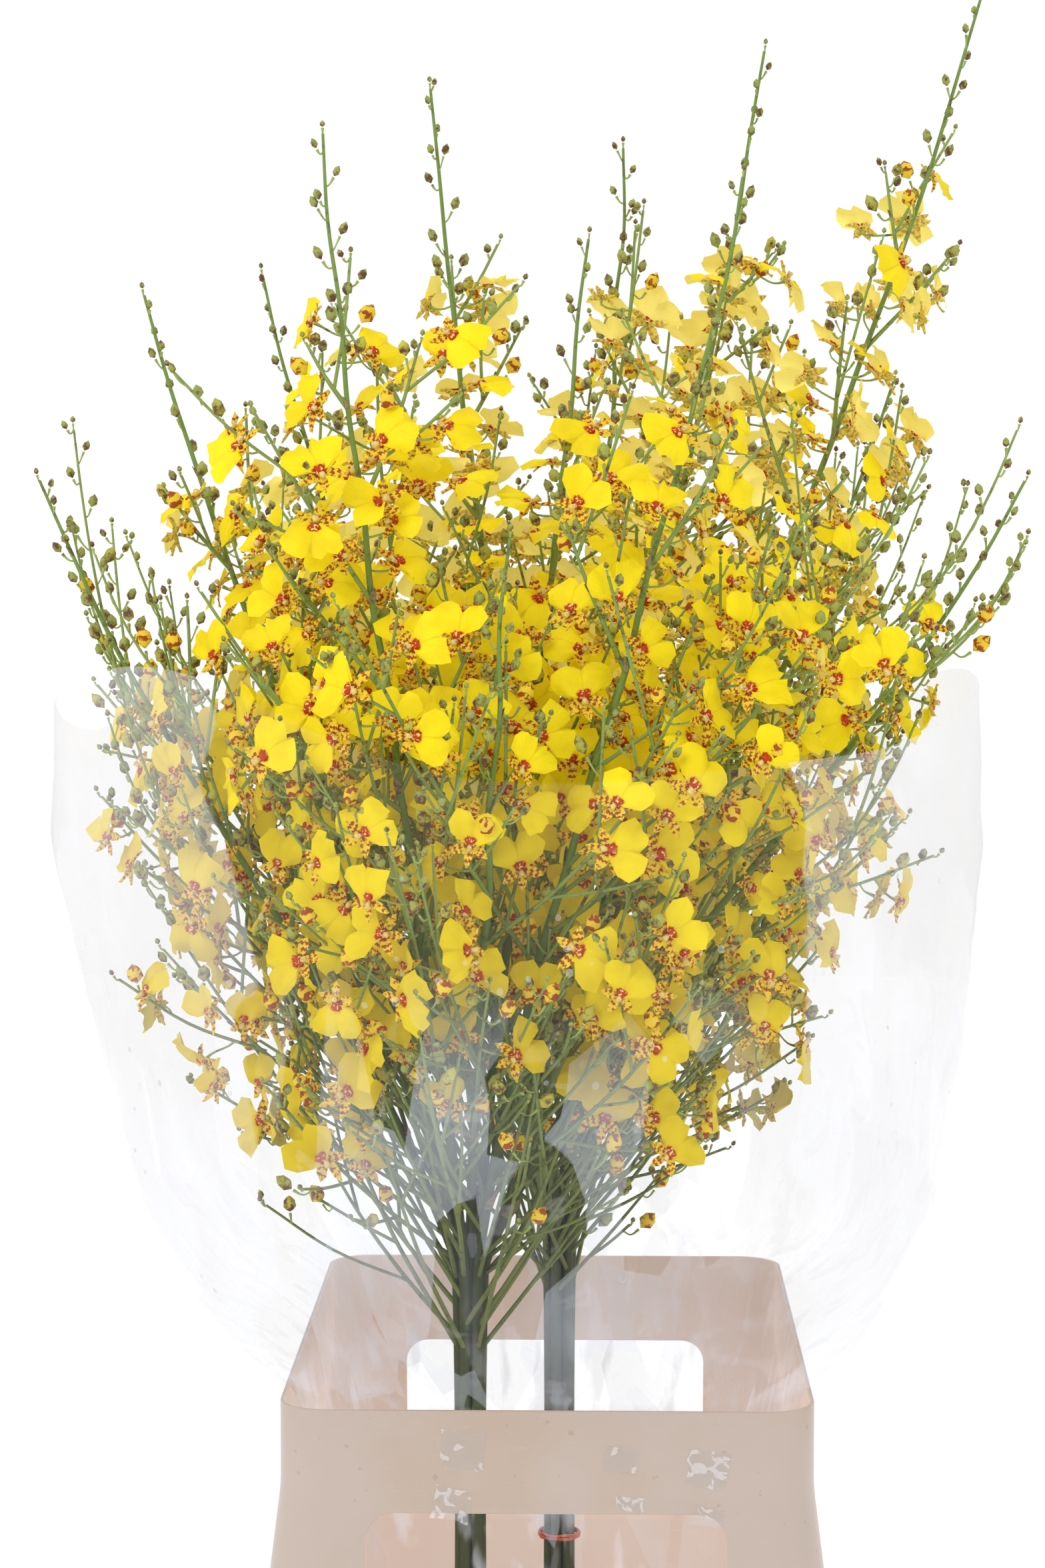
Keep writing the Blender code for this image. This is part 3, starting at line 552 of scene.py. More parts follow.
class Growth:
    """All that is drawn on the sprays: smooth lines, flowers and buds, each with its spray.

    The crowd holds whole flowers, which further flowers and buds keep clear of. The wood holds
    only their hearts, because twigs may run between the petals.
    """

    def __init__(self, settings):
        self.sprays, self.crowd = lay_out_sprays()
        self.wood = Crowd()
        self.settings = settings
        for number, spray in enumerate(self.sprays):
            spray["rng"] = random.Random(number + 900)
            spray["twigs"] = []
            for line in grown_lines(spray):
                self.wood.add_line(line["points"], line["radii"], line["group"])
            for _, pose in spray["flowers"]:
                for spot, radius in balls_of(pose):
                    self.wood.add(spot, spot, radius * 0.5, FLOWER_GROUP)
        for number, ahead in itertools.product(VIEW_SPRAYS, VIEW_AHEAD):
            shifted = [p - np.array((0.0, ahead, 0.0)) for p in self.sprays[number]["stem"][4:]]
            self.crowd.add_line(shifted, [VIEW_RADIUS] * len(shifted), FLOWER_GROUP)
        steps = (self.grow_shoots, self.grow_twigs, self.grow_brush, self.fill_flowers, self.fill_buds)
        for step, spray in itertools.product(steps, self.sprays):
            step(spray)

    def add_twig(self, spray, points, radii, parents, room, bare):
        """Adds a twig and tells that it did, if it clears the film and all but its parents."""
        if not (held(points) and fits_film(points, room)):
            return False
        if not self.wood.line_is_free(points, radii, parents):
            return False
        group = spray["group"] + 50 + len(spray["twigs"])
        self.wood.add_line(points, radii, group)
        self.crowd.add_line(points, radii, group)
        spray["twigs"].append({"points": points, "radii": radii, "group": group, "bare": bare})
        return True

    def grow_shoots(self, spray):
        """Long thin branches that fan out from the lower part of a stem."""
        rng = spray["rng"]
        stem = spray["stem"]
        distance = RIM_Z + self.settings.shoots_from
        count = 0
        while distance < RIM_Z + self.settings.shoots_to:
            foot, forward = along(stem, distance)
            out = outward(foot)
            count += 1
            for attempt in range(12):
                swing = (count % 3 - 1) * 1.6 + rng.uniform(-0.8, 0.8) * (1 + 0.2 * attempt)
                turn = turn_towards(forward, out + swing)
                length = rng.uniform(*SHOOT_REACH) * 0.95**attempt
                points, radii = branch_line(foot, forward, turn, length, rng)
                if self.add_twig(spray, points, radii, [spray["group"]], SHOOT_ROOM, SHOOT_BARE):
                    break
            climb = (distance - RIM_Z) / self.settings.shoots_to
            distance += self.settings.shoot_step * (0.6 + 0.8 * climb) * rng.uniform(0.8, 1.2)

    def grow_twigs(self, spray):
        """Short second branches from the side branches, where there is room."""
        rng = spray["rng"]
        for parent in spray["branches"] + spray["twigs"]:
            reach = length_of(parent["points"])
            parents = [parent["group"], spray["group"]]
            step = self.settings.twig_step
            for _, foot, forward in walk(parent["points"], 0.30 * reach, 0.76 * reach, step, 0.2, rng):
                for attempt in range(5):
                    length = rng.uniform(*TWIG_REACH) * 0.93**attempt
                    points, radii = branch_line(foot, forward, rng.uniform(0, TURN), length, rng)
                    radii = [TWIG_TIP + (r - BRANCH_TIP) * 0.3 for r in radii]
                    if self.add_twig(spray, points, radii, parents, BRANCH_ROOM, TWIG_BARE):
                        break

    def grow_brush(self, spray):
        """Thin steep twigs, set with buds alone, from the outer ends of the outer branches."""
        rng = spray["rng"]
        parts = len(BRUSH_RADII) - 1
        for parent in spray["branches"]:
            tip = parent["points"][-1]
            if abs(tip[0] - FILM_LEAN) < BRUSH_FROM or not BRUSH_LOW < tip[2] - RIM_Z < BRUSH_HIGH:
                continue
            reach = length_of(parent["points"])
            parents = [parent["group"], spray["group"]]
            for share in BRUSH_SHARES:
                foot, forward = along(parent["points"], share * reach)
                for attempt in range(6):
                    way = unit(forward + across(forward, rng.uniform(0, TURN)) * rng.uniform(0.4, 0.8))
                    length = rng.uniform(*BRUSH_REACH) * 0.92**attempt
                    points = [foot]
                    for _ in range(parts):
                        points.append(points[-1] + way * length / parts)
                        way = unit(way + np.array((0.0, 0.0, 0.22)))
                    if self.add_twig(spray, points, BRUSH_RADII, parents, BRUSH_ROOM, BRUSH_BARE):
                        break

    def fill_flowers(self, spray):
        """Flowers between those already placed, wherever one has room."""
        rng = spray["rng"]
        top = length_of(spray["stem"])
        for number, line in enumerate(grown_lines(spray)):
            reach = length_of(line["points"])
            start, stop = line.get("bare", 0.25) * reach, open_until(line, spray) * reach
            if number == 0:
                start, stop = top - 0.30, top - 0.15
            places = walk(line["points"], start, stop, self.settings.flower_step, 0.15, rng)
            for side, (_, foot, forward) in enumerate(places, number + 1):
                for attempt in range(4):
                    turn = math.pi * (side % 2) + rng.uniform(-0.6, 0.6) * (1 + 0.4 * attempt)
                    pose = flower_pose(foot, forward, turn, rng)
                    rise = foot[2] - RIM_Z + THIN_MIDDLE * (abs(foot[0] - FILM_LEAN) - 0.09)
                    climb = (rise - THIN_BELOW[0]) / (THIN_BELOW[1] - THIN_BELOW[0])
                    if rng.random() < climb and self.has_room(pose):
                        for spot, radius in balls_of(pose):
                            self.crowd.add(spot, spot, radius, FLOWER_GROUP)
                        spray["flowers"].append((foot, pose))
                        break

    def has_room(self, pose):
        """True where a further flower clears the film, the stems and the other flowers."""
        for spot, radius in balls_of(pose):
            if not held([spot]) or not film_allows(spot, radius * 0.7 + 0.001):
                return False
            if not self.crowd.is_free(spot, spot, radius * self.settings.crowding):
                return False
        return True

    def fill_buds(self, spray):
        """Buds all along the ends of the lines, small at the tips."""
        rng = spray["rng"]
        tips = [tip for _, tip, _ in spray["buds"]]
        top = length_of(spray["stem"])
        for number, line in enumerate(grown_lines(spray)):
            reach = length_of(line["points"])
            start = top - 0.145 if number == 0 else (open_until(line, spray) - 0.05) * reach
            if line.get("bare") == BRUSH_BARE:
                start = 0.3 * reach
            distance, side = start, number
            while distance < reach:
                foot, forward = along(line["points"], distance)
                share = (distance - start) / max(reach - start, 0.001)
                size = 1.15 - 0.62 * share
                side += 1
                for attempt in range(4):
                    angle = math.pi * (side % 2) + rng.uniform(-0.5, 0.5) * (1 + attempt)
                    stalk = unit(forward * 0.75 + across(forward, angle) * 0.9)
                    tip = foot + stalk * FURTHER_BUD[1] * size
                    free = held([tip]) and film_allows(tip, BUD_ROOM)
                    free = free and all(np.linalg.norm(tip - other) > BUDS_APART for other in tips)
                    passed = [line["group"], FLOWER_GROUP]
                    if free and self.crowd.is_free(foot, tip, 0.0015 * size, passed):
                        tips.append(tip)
                        spray["buds"].append((foot, tip, FURTHER_BUD[0] * size))
                        break
                distance += self.settings.bud_step * rng.uniform(0.8, 1.2) * (0.65 + 0.45 * size)
            foot, forward = along(line["points"], reach)
            spray["buds"].append((foot, foot + forward * LAST_BUD[1], LAST_BUD[0]))


_growth = []


def growth():
    """The growth, worked out once."""
    if not _growth:
        _growth.append(Growth(bpy.context.scene.oncidium_sprays))
    return _growth[0]


def smooth_line(points, radii, step):
    """A soft curve through the points of a line, with a point about every step."""
    spots, widths = [points[0]], [radii[0]]
    for i in range(len(points) - 1):
        a, b = points[i], points[i + 1]
        before = points[i - 1] if i else a - (b - a)
        after = points[i + 2] if i + 2 < len(points) else b + (b - a)
        run = float(np.linalg.norm(b - a))
        lead = (b - before) * run / max(float(np.linalg.norm(b - before)), 1e-6)
        tail = (after - a) * run / max(float(np.linalg.norm(after - a)), 1e-6)
        parts = max(1, round(run / step))
        for k in range(1, parts + 1):
            t = k / parts
            spot = a * (2 * t**3 - 3 * t * t + 1) + lead * (t**3 - 2 * t * t + t)
            spots.append(spot + b * (3 * t * t - 2 * t**3) + tail * (t**3 - t * t))
            widths.append(radii[i] + (radii[i + 1] - radii[i]) * t)
    return spots, widths


# ================================================================ modelling helpers
def deselect():
    for item in bpy.context.selected_objects:
        item.select_set(False)


def pick(item):
    """Selects one object alone and makes it the active one."""
    deselect()
    item.select_set(True)
    bpy.context.view_layer.objects.active = item


def named(name):
    """The object that an operator has just added, under its own name."""
    item = bpy.context.object
    item.name = name
    item.data.name = name
    return item


def new_object(name, data):
    """An object with its data, in the scene."""
    item = bpy.data.objects.new(name, data)
    bpy.context.scene.collection.objects.link(item)
    return item


def remove(*items):
    """Takes away what was only a model for others."""
    for item in items:
        bpy.data.objects.remove(item, do_unlink=True)


def settle(item):
    """Moves an object's place into its mesh."""
    pick(item)
    bpy.ops.object.transform_apply(location=True, rotation=True, scale=True)


def apply_modifier(item, kind, **values):
    """Adds a modifier with its values and applies it."""
    pick(item)
    modifier = item.modifiers.new(kind.lower(), kind)
    for key, value in values.items():
        setattr(modifier, key, value)
    bpy.ops.object.modifier_apply(modifier=modifier.name)


def object_mode():
    bpy.ops.object.mode_set(mode="OBJECT")


def weld(item, threshold):
    """Merges points that meet, and turns all faces outward."""
    pick(item)
    bpy.ops.object.mode_set(mode="EDIT")
    bpy.ops.mesh.select_all(action="SELECT")
    bpy.ops.mesh.remove_doubles(threshold=threshold)
    bpy.ops.mesh.normals_make_consistent(inside=False)
    object_mode()


def smooth_by(item, degrees):
    """Smooth shading but for edges sharper than an angle."""
    pick(item)
    bpy.ops.object.shade_smooth_by_angle(angle=math.radians(degrees))


def facing(way):
    """The turn that points an object's Z along a direction."""
    return Vector(way).to_track_quat("Z", "Y").to_matrix().to_4x4()


def join(items, name):
    """Joins objects into the first one."""
    deselect()
    for item in items:
        item.select_set(True)
    bpy.context.view_layer.objects.active = items[0]
    bpy.ops.object.join()
    return named(name)


def sweep(name, lines, resolution, closed=False):
    """Round tapering rods along lines of (points, radii), as one mesh."""
    curve = bpy.data.curves.new(name, "CURVE")
    curve.dimensions = "3D"
    curve.bevel_depth = 1.0
    curve.bevel_resolution = resolution
    curve.use_fill_caps = True
    for points, radii in lines:
        spline = curve.splines.new("POLY")
        spline.points.add(len(points) - 1)
        spline.use_cyclic_u = closed
        for knot, point, radius in zip(spline.points, points, radii):
            knot.co = (*point, 1.0)
            knot.radius = radius
    pick(new_object(name, curve))
    bpy.ops.object.convert(target="MESH")
    item = named(name)
    weld(item, 0.000001)
    smooth_by(item, 60)
    return item


def grid_piece(name, columns, rows, place, material=None):
    """A grid shaped by a function of across and along, each from 0 to 1."""
    deselect()
    bpy.ops.mesh.primitive_grid_add(x_subdivisions=columns, y_subdivisions=rows, size=1)
    item = named(name)
    for vertex in item.data.vertices:
        vertex.co = place(vertex.co.x + 0.5, vertex.co.y + 0.5)
    if material:
        item.data.materials.append(material)
    return item


def finish_piece(item, slot, material, *nodes):
    """Gives a piece its material, hangs it on the body and hides the packed model's nodes that it stands
    for; the slot is not used.
    """
    if material:
        item.data.materials.clear()
        item.data.materials.append(material)
    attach(item, BODY)
    if nodes:
        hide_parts(*nodes)


def mark(mesh, name, value):
    """Gives a mesh one number all over, which its material reads."""
    store = mesh.attributes.new(name, "FLOAT", "POINT")
    store.data.foreach_set("value", [value] * len(mesh.vertices))


# ================================================================ materials
class Nodes:
    """Adds nodes to a tree and joins them."""

    def __init__(self, tree):
        self.tree = tree

    def add(self, kind, **values):
        node = self.tree.nodes.new("ShaderNode" + kind)
        for key, value in values.items():
            setattr(node, key, value)
        return node

    def put(self, socket, value):
        """Joins a socket to another, or sets it to a plain value."""
        if isinstance(value, bpy.types.NodeSocket):
            self.tree.links.new(value, socket)
        else:
            socket.default_value = value

    def math(self, operation, a, b=0.0, clamp=False):
        node = self.add("Math", operation=operation, use_clamp=clamp)
        self.put(node.inputs[0], a)
        self.put(node.inputs[1], b)
        return node.outputs[0]

    def times(self, a, b, clamp=False):
        return self.math("MULTIPLY", a, b, clamp)

    def plus(self, a, b, clamp=False):
        return self.math("ADD", a, b, clamp)

    def minus(self, a, b):
        return self.math("SUBTRACT", a, b)

    def mix(self, factor, a, b):
        node = self.add("Mix", data_type="RGBA")
        self.put(node.inputs["Factor"], factor)
        self.put(node.inputs["A"], a)
        self.put(node.inputs["B"], b)
        return node.outputs["Result"]

    def noise(self, vector, scale, detail=2.0, distortion=0.0):
        node = self.add("TexNoise")
        self.put(node.inputs["Vector"], vector)
        self.put(node.inputs["Scale"], scale)
        node.inputs["Detail"].default_value = detail
        node.inputs["Distortion"].default_value = distortion
        return node.outputs["Fac"]

    def between(self, value, low, high):
        """0 below low, 1 above high, soft in between."""
        node = self.add("MapRange", interpolation_type="SMOOTHSTEP")
        self.put(node.inputs["Value"], value)
        node.inputs["From Min"].default_value = low
        node.inputs["From Max"].default_value = high
        return node.outputs["Result"]

    def place(self):
        """The place on the object, which is the place in the scene, in metres."""
        return self.add("TexCoord").outputs["Object"]

    def axes(self, vector):
        node = self.add("SeparateXYZ")
        self.put(node.inputs[0], vector)
        return node.outputs["X"], node.outputs["Y"], node.outputs["Z"]

    def height(self):
        return self.axes(self.place())[2]

    def stretched(self, vector, scale, rotation=(0.0, 0.0, 0.0)):
        """A place scaled along its axes, so that a texture on it is drawn out."""
        node = self.add("Mapping")
        self.put(node.inputs["Vector"], vector)
        node.inputs["Scale"].default_value = scale
        node.inputs["Rotation"].default_value = rotation
        return node.outputs["Vector"]

    def across_along(self):
        """The blade's own map: across from 0 to 1, and along from its foot to its point."""
        flat = self.add("UVMap", uv_map="UVMap").outputs["UV"]
        across_blade, along_blade, _ = self.axes(flat)
        return across_blade, along_blade, flat

    def number(self, name):
        """The number that a piece carries under a name."""
        return self.add("Attribute", attribute_name=name).outputs["Fac"]

    def bump(self, height, strength, distance):
        node = self.add("Bump")
        node.inputs["Strength"].default_value = strength
        node.inputs["Distance"].default_value = distance
        self.put(node.inputs["Height"], height)
        return node.outputs["Normal"]


class Sockets:
    """A shader's inputs: what is written to one is joined to it or set on it."""

    def __init__(self, nodes, shader):
        self.nodes = nodes
        self.inputs = shader.inputs

    def __setitem__(self, name, value):
        self.nodes.put(self.inputs[name], value)


def new_group(name, inputs, outputs):
    """A node group with named inputs (name, kind, default) and outputs (name, kind)."""
    tree = bpy.data.node_groups.new(name, "ShaderNodeTree")
    for label, kind, default in inputs:
        socket = tree.interface.new_socket(name=label, in_out="INPUT", socket_type=kind)
        socket.default_value = default
    for label, kind in outputs:
        tree.interface.new_socket(name=label, in_out="OUTPUT", socket_type=kind)
    return tree, tree.nodes.new("NodeGroupInput"), tree.nodes.new("NodeGroupOutput")


COLOUR, VALUE = "NodeSocketColor", "NodeSocketFloat"


def mottle_group():
    """Two colours in soft irregular patches, with a finer fleck over them."""
    name = "plant_mottle"
    if name in bpy.data.node_groups:
        return bpy.data.node_groups[name]
    inputs = [
        ("Colour", COLOUR, (1, 1, 1, 1)),
        ("Patch Colour", COLOUR, (0, 0, 0, 1)),
        ("Scale", VALUE, 40.0),
        ("Amount", VALUE, 0.5),
    ]
    tree, start, end = new_group(name, inputs, [("Colour", COLOUR), ("Patches", VALUE)])
    nodes = Nodes(tree)
    place = nodes.place()
    coarse = nodes.noise(place, start.outputs["Scale"])
    fine = nodes.noise(place, nodes.times(start.outputs["Scale"], 4.3))
    both = nodes.plus(nodes.times(coarse, 0.7), nodes.times(fine, 0.3))
    edge = nodes.minus(nodes.minus(1.0, nodes.times(start.outputs["Amount"], 0.62)), 0.16)
    patches = nodes.times(nodes.minus(both, edge), 7.0, True)
    nodes.put(end.inputs["Patches"], patches)
    tone = nodes.mix(patches, start.outputs["Colour"], start.outputs["Patch Colour"])
    nodes.put(end.inputs["Colour"], tone)
    return tree


def add_mottle(nodes, colour, patch, scale, amount):
    """The mottled colour and the mask of its patches."""
    node = nodes.add("Group", node_tree=mottle_group())
    nodes.put(node.inputs["Colour"], colour)
    nodes.put(node.inputs["Patch Colour"], patch)
    node.inputs["Scale"].default_value = scale
    nodes.put(node.inputs["Amount"], amount)
    return node.outputs["Colour"], node.outputs["Patches"]


def scuff_group():
    """Fine rubbed scratches and a soft handling haze, as a mask."""
    name = "moulded_scuffs"
    if name in bpy.data.node_groups:
        return bpy.data.node_groups[name]
    tree, start, end = new_group(name, [("Amount", VALUE, 0.5)], [("Mask", VALUE)])
    nodes = Nodes(tree)
    drawn = nodes.stretched(nodes.place(), (1.0, 1.0, 9.0), (0.5, 0.3, 0.2))
    fine = nodes.between(nodes.noise(drawn, 90.0, 6.0), 0.60, 0.72)
    haze = nodes.between(nodes.noise(nodes.place(), 9.0, 3.0), 0.42, 0.75)
    mask = nodes.times(nodes.plus(fine, nodes.times(haze, 0.6)), start.outputs["Amount"], True)
    nodes.put(end.inputs["Mask"], mask)
    return tree


def new_material(name):
    """A material, a helper for its nodes, and the inputs of its Principled shader."""
    material = bpy.data.materials.new(name)
    material.use_nodes = True
    nodes = Nodes(material.node_tree)
    return material, nodes, Sockets(nodes, material.node_tree.nodes["Principled BSDF"])


def shaded(colour, share):
    """A darker or paler tone of a colour."""
    return tuple(min(1.0, c * share) for c in colour[:3]) + (1.0,)


# Painted glow: emission that stands in for the light through the thin moulded walls, with its colours on
# the inner walls.
PLASTIC_GLOW = 0.5  # light that the thin moulded walls let through, and its colours inside
INNER_GLOW = (0.56, 0.40, 0.31, 1.0)
DEEP_GLOW = (0.85, 0.66, 0.57, 1.0)


def plastic_material(name, colour):
    """Moulded plastic: handled, water-stained and lightly scuffed, with a painted glow that stands in for
    the light through its thin walls.
    """
    material, nodes, shader = new_material(name)
    stain = tuple(c * s for c, s in zip(colour[:3], (0.97, 0.92, 0.83))) + (1.0,)
    body, _ = add_mottle(nodes, colour, stain, 7.0, 0.52)
    scuffs = nodes.add("Group", node_tree=scuff_group())
    scuffs.inputs["Amount"].default_value = 0.55
    tone = nodes.mix(scuffs.outputs["Mask"], body, shaded(colour, 1.07))
    specks = nodes.between(nodes.noise(nodes.place(), 160.0, 2.0), 0.71, 0.76)
    shader["Base Color"] = nodes.mix(nodes.times(specks, 0.5), tone, shaded(colour, 0.62))
    shader["Roughness"] = nodes.plus(nodes.times(scuffs.outputs["Mask"], 0.22), 0.30)
    shader["Normal"] = nodes.bump(nodes.noise(nodes.place(), 420.0, 3.0), 0.05, 0.0004)
    # Painted glow: faint on the outside, warmer on the inner walls and paler deeper inside.
    level = nodes.add("VectorMath", operation="MULTIPLY")
    nodes.put(level.inputs[0], nodes.place())
    level.inputs[1].default_value = (1.0, 1.0, 0.0)
    away = nodes.add("VectorMath", operation="DOT_PRODUCT")
    nodes.put(away.inputs[0], nodes.add("NewGeometry").outputs["Normal"])
    nodes.put(away.inputs[1], level.outputs["Vector"])
    inner = nodes.between(away.outputs["Value"], 0.0, -0.05)
    deep = nodes.between(nodes.height(), RIM_Z - 0.02, RIM_Z - 0.14)
    inside = nodes.mix(deep, INNER_GLOW, DEEP_GLOW)
    shader["Emission Color"] = nodes.mix(inner, shaded(colour, 0.4), inside)
    shader["Emission Strength"] = PLASTIC_GLOW
    return material


def film_material(settings):
    """Clear film: a painted sheen drawn as folds of pale haze down its two sides, painted grey
    reflections in facets low in front, and a faint painted glow.
    """
    material, nodes, shader = new_material("clear_film")
    place = nodes.place()
    x, y, height = nodes.axes(place)
    aside = nodes.math("ABSOLUTE", nodes.minus(x, FILM_LEAN))
    span = nodes.math("SQRT", nodes.plus(nodes.times(aside, aside), nodes.times(y, y)))
    sideways = nodes.math("DIVIDE", aside, span)
    # painted sheen down the sides, where the film turns edge-on to the front, drawn as folds of haze
    drawn = nodes.stretched(place, (1.0, 1.0, 0.75))
    soft = nodes.noise(place, 9.0, 2.0)
    turned = nodes.plus(sideways, nodes.times(nodes.noise(drawn, 7.5, 1.0, 1.6), 0.40))
    fold = nodes.times(nodes.between(turned, 0.745, 0.758), nodes.between(soft, 0.1, 0.55))
    second = nodes.between(turned, 0.97, 0.98)
    # painted reflections: grey facets and slivers of shine low in front
    facets = nodes.add("TexVoronoi")
    nodes.put(facets.inputs["Vector"], nodes.stretched(place, (1.7, 1.2, 0.6), (0.0, 0.9, 0.0)))
    facets.inputs["Scale"].default_value = 24.0
    low = nodes.between(height, RIM_Z + 0.25, RIM_Z + 0.16)
    front = nodes.between(sideways, 0.62, 0.30)
    sheet = nodes.times(nodes.between(facets.outputs["Color"], 0.52, 0.53), soft)
    sheet = nodes.times(sheet, nodes.times(low, front))
    small = nodes.noise(drawn, 15.0, 2.0, 2.6)
    sliver = nodes.times(nodes.between(small, 0.60, 0.615), nodes.times(soft, low))
    # pleats where the film is gathered into the collar
    pleats = nodes.noise(nodes.stretched(place, (1.0, 1.0, 0.06)), 60.0, 3.0)
    gathered = nodes.between(height, RIM_Z + 0.13, RIM_Z - 0.02)
    streaks = nodes.times(nodes.between(pleats, 0.52, 0.66), gathered)
    inside = nodes.between(height, RIM_Z + 0.03, RIM_Z - 0.03)
    crushed = nodes.plus(nodes.times(inside, 0.14), 0.06)
    alpha = nodes.plus(nodes.times(fold, settings.painted_side_sheen), settings.clearness)
    alpha = nodes.plus(alpha, nodes.times(second, settings.painted_side_sheen * 0.4))
    alpha = nodes.plus(alpha, nodes.times(sheet, settings.shine))
    alpha = nodes.plus(alpha, nodes.times(sliver, settings.shine * 0.3))
    alpha = nodes.plus(alpha, nodes.times(streaks, crushed), True)
    shader["Alpha"] = alpha
    # The film's tint, turned grey-blue where the painted reflections lie.
    tint_and_painted_reflection = nodes.mix(nodes.times(sheet, 2.0, True), settings.colour, (0.70, 0.74, 0.84, 1.0))
    shader["Base Color"] = tint_and_painted_reflection
    shader["Emission Color"] = tint_and_painted_reflection
    # A faint painted glow that keeps the film pale under any light.
    shader["Emission Strength"] = 0.15
    shader["Roughness"] = 0.10
    shader["IOR"] = 1.45
    shader["Normal"] = nodes.bump(nodes.noise(place, 30.0, 3.0, 0.8), 0.10, 0.002)
    return material


def water_material():
    """Still water with a faint green of cut stems."""
    material, nodes, shader = new_material("bucket_water")
    shader["Base Color"] = (0.82, 0.93, 0.88, 1.0)
    shader["Roughness"] = 0.02
    shader["IOR"] = 1.333
    shader["Transmission Weight"] = 1.0
    shader["Normal"] = nodes.bump(nodes.noise(nodes.place(), 16.0, 2.0), 0.06, 0.002)
    return material


def rubber_material(colour):
    """Soft rubber, dusty where it has been stretched."""
    material, nodes, shader = new_material("band_rubber")
    dusty = tuple(min(1.0, c * 1.5 + 0.05) for c in colour[:3]) + (1.0,)
    tone, dust = add_mottle(nodes, colour, dusty, 180.0, 0.55)
    shader["Base Color"] = tone
    shader["Roughness"] = nodes.plus(nodes.times(dust, 0.2), 0.5)
    shader["Normal"] = nodes.bump(nodes.noise(nodes.place(), 900.0, 2.0), 0.3, 0.0002)
    return material


def tape_material():
    """Scraps of clear tape: flat and glossy, with a few white creases."""
    material, nodes, shader = new_material("tape_scrap")
    ridges = nodes.between(nodes.noise(nodes.place(), 110.0, 2.0, 1.4), 0.56, 0.60)
    tone = nodes.mix(ridges, (0.66, 0.62, 0.60, 1.0), (0.92, 0.91, 0.92, 1.0))
    shader["Base Color"] = tone
    shader["Alpha"] = nodes.plus(nodes.times(ridges, 0.14), 0.13)
    shader["Roughness"] = 0.12
    shader["Normal"] = nodes.bump(nodes.noise(nodes.place(), 120.0, 2.0), 0.35, 0.0008)
    return material


def stem_material(colours):
    """Stems: blackish green low down as painted shade, fresh above, pale at the tips, with brown flecks.
    """
    material, nodes, shader = new_material("orchid_stem")
    # Painted shade: the stems darken from high in the bunch down to just above the rim, and stay dark
    # below it.
    high = nodes.between(nodes.height(), RIM_Z + 0.02, RIM_Z + 0.30)
    fresh = nodes.mix(high, colours.stem_shaded_low, colours.stem)
    tone = nodes.mix(nodes.number("tint"), fresh, colours.stem_tip)
    flecked, _ = add_mottle(nodes, tone, (0.10, 0.075, 0.03, 1.0), 130.0, 0.47)
    shader["Base Color"] = flecked
    shader["Roughness"] = 0.55
    shader["Specular IOR Level"] = 0.3
    lines = nodes.noise(nodes.stretched(nodes.place(), (1.0, 1.0, 0.08)), 1500.0, 2.0)
    shader["Normal"] = nodes.bump(lines, 0.25, 0.0003)
    return material


def bud_material(colours):
    """Buds: green with purple-brown clouds, the fat ones ripening to yellow."""
    material, nodes, shader = new_material("orchid_bud")
    ripe = nodes.between(nodes.number("tint"), 0.55, 1.0)
    base = nodes.mix(nodes.times(ripe, 0.7), colours.bud, colours.lip)
    _, along_bud, _ = nodes.across_along()
    clouds = nodes.minus(0.76, nodes.times(along_bud, 0.28))
    tone, _ = add_mottle(nodes, base, colours.bud_mark, 240.0, clouds)
    shader["Base Color"] = tone
    shader["Roughness"] = 0.5
    shader["Specular IOR Level"] = 0.25
    return material


BLACK = (0.0, 0.0, 0.0, 1.0)
LIT_THROUGH = (1.0, 0.87, 0.24, 1.0)  # a lip seen from behind, against the light


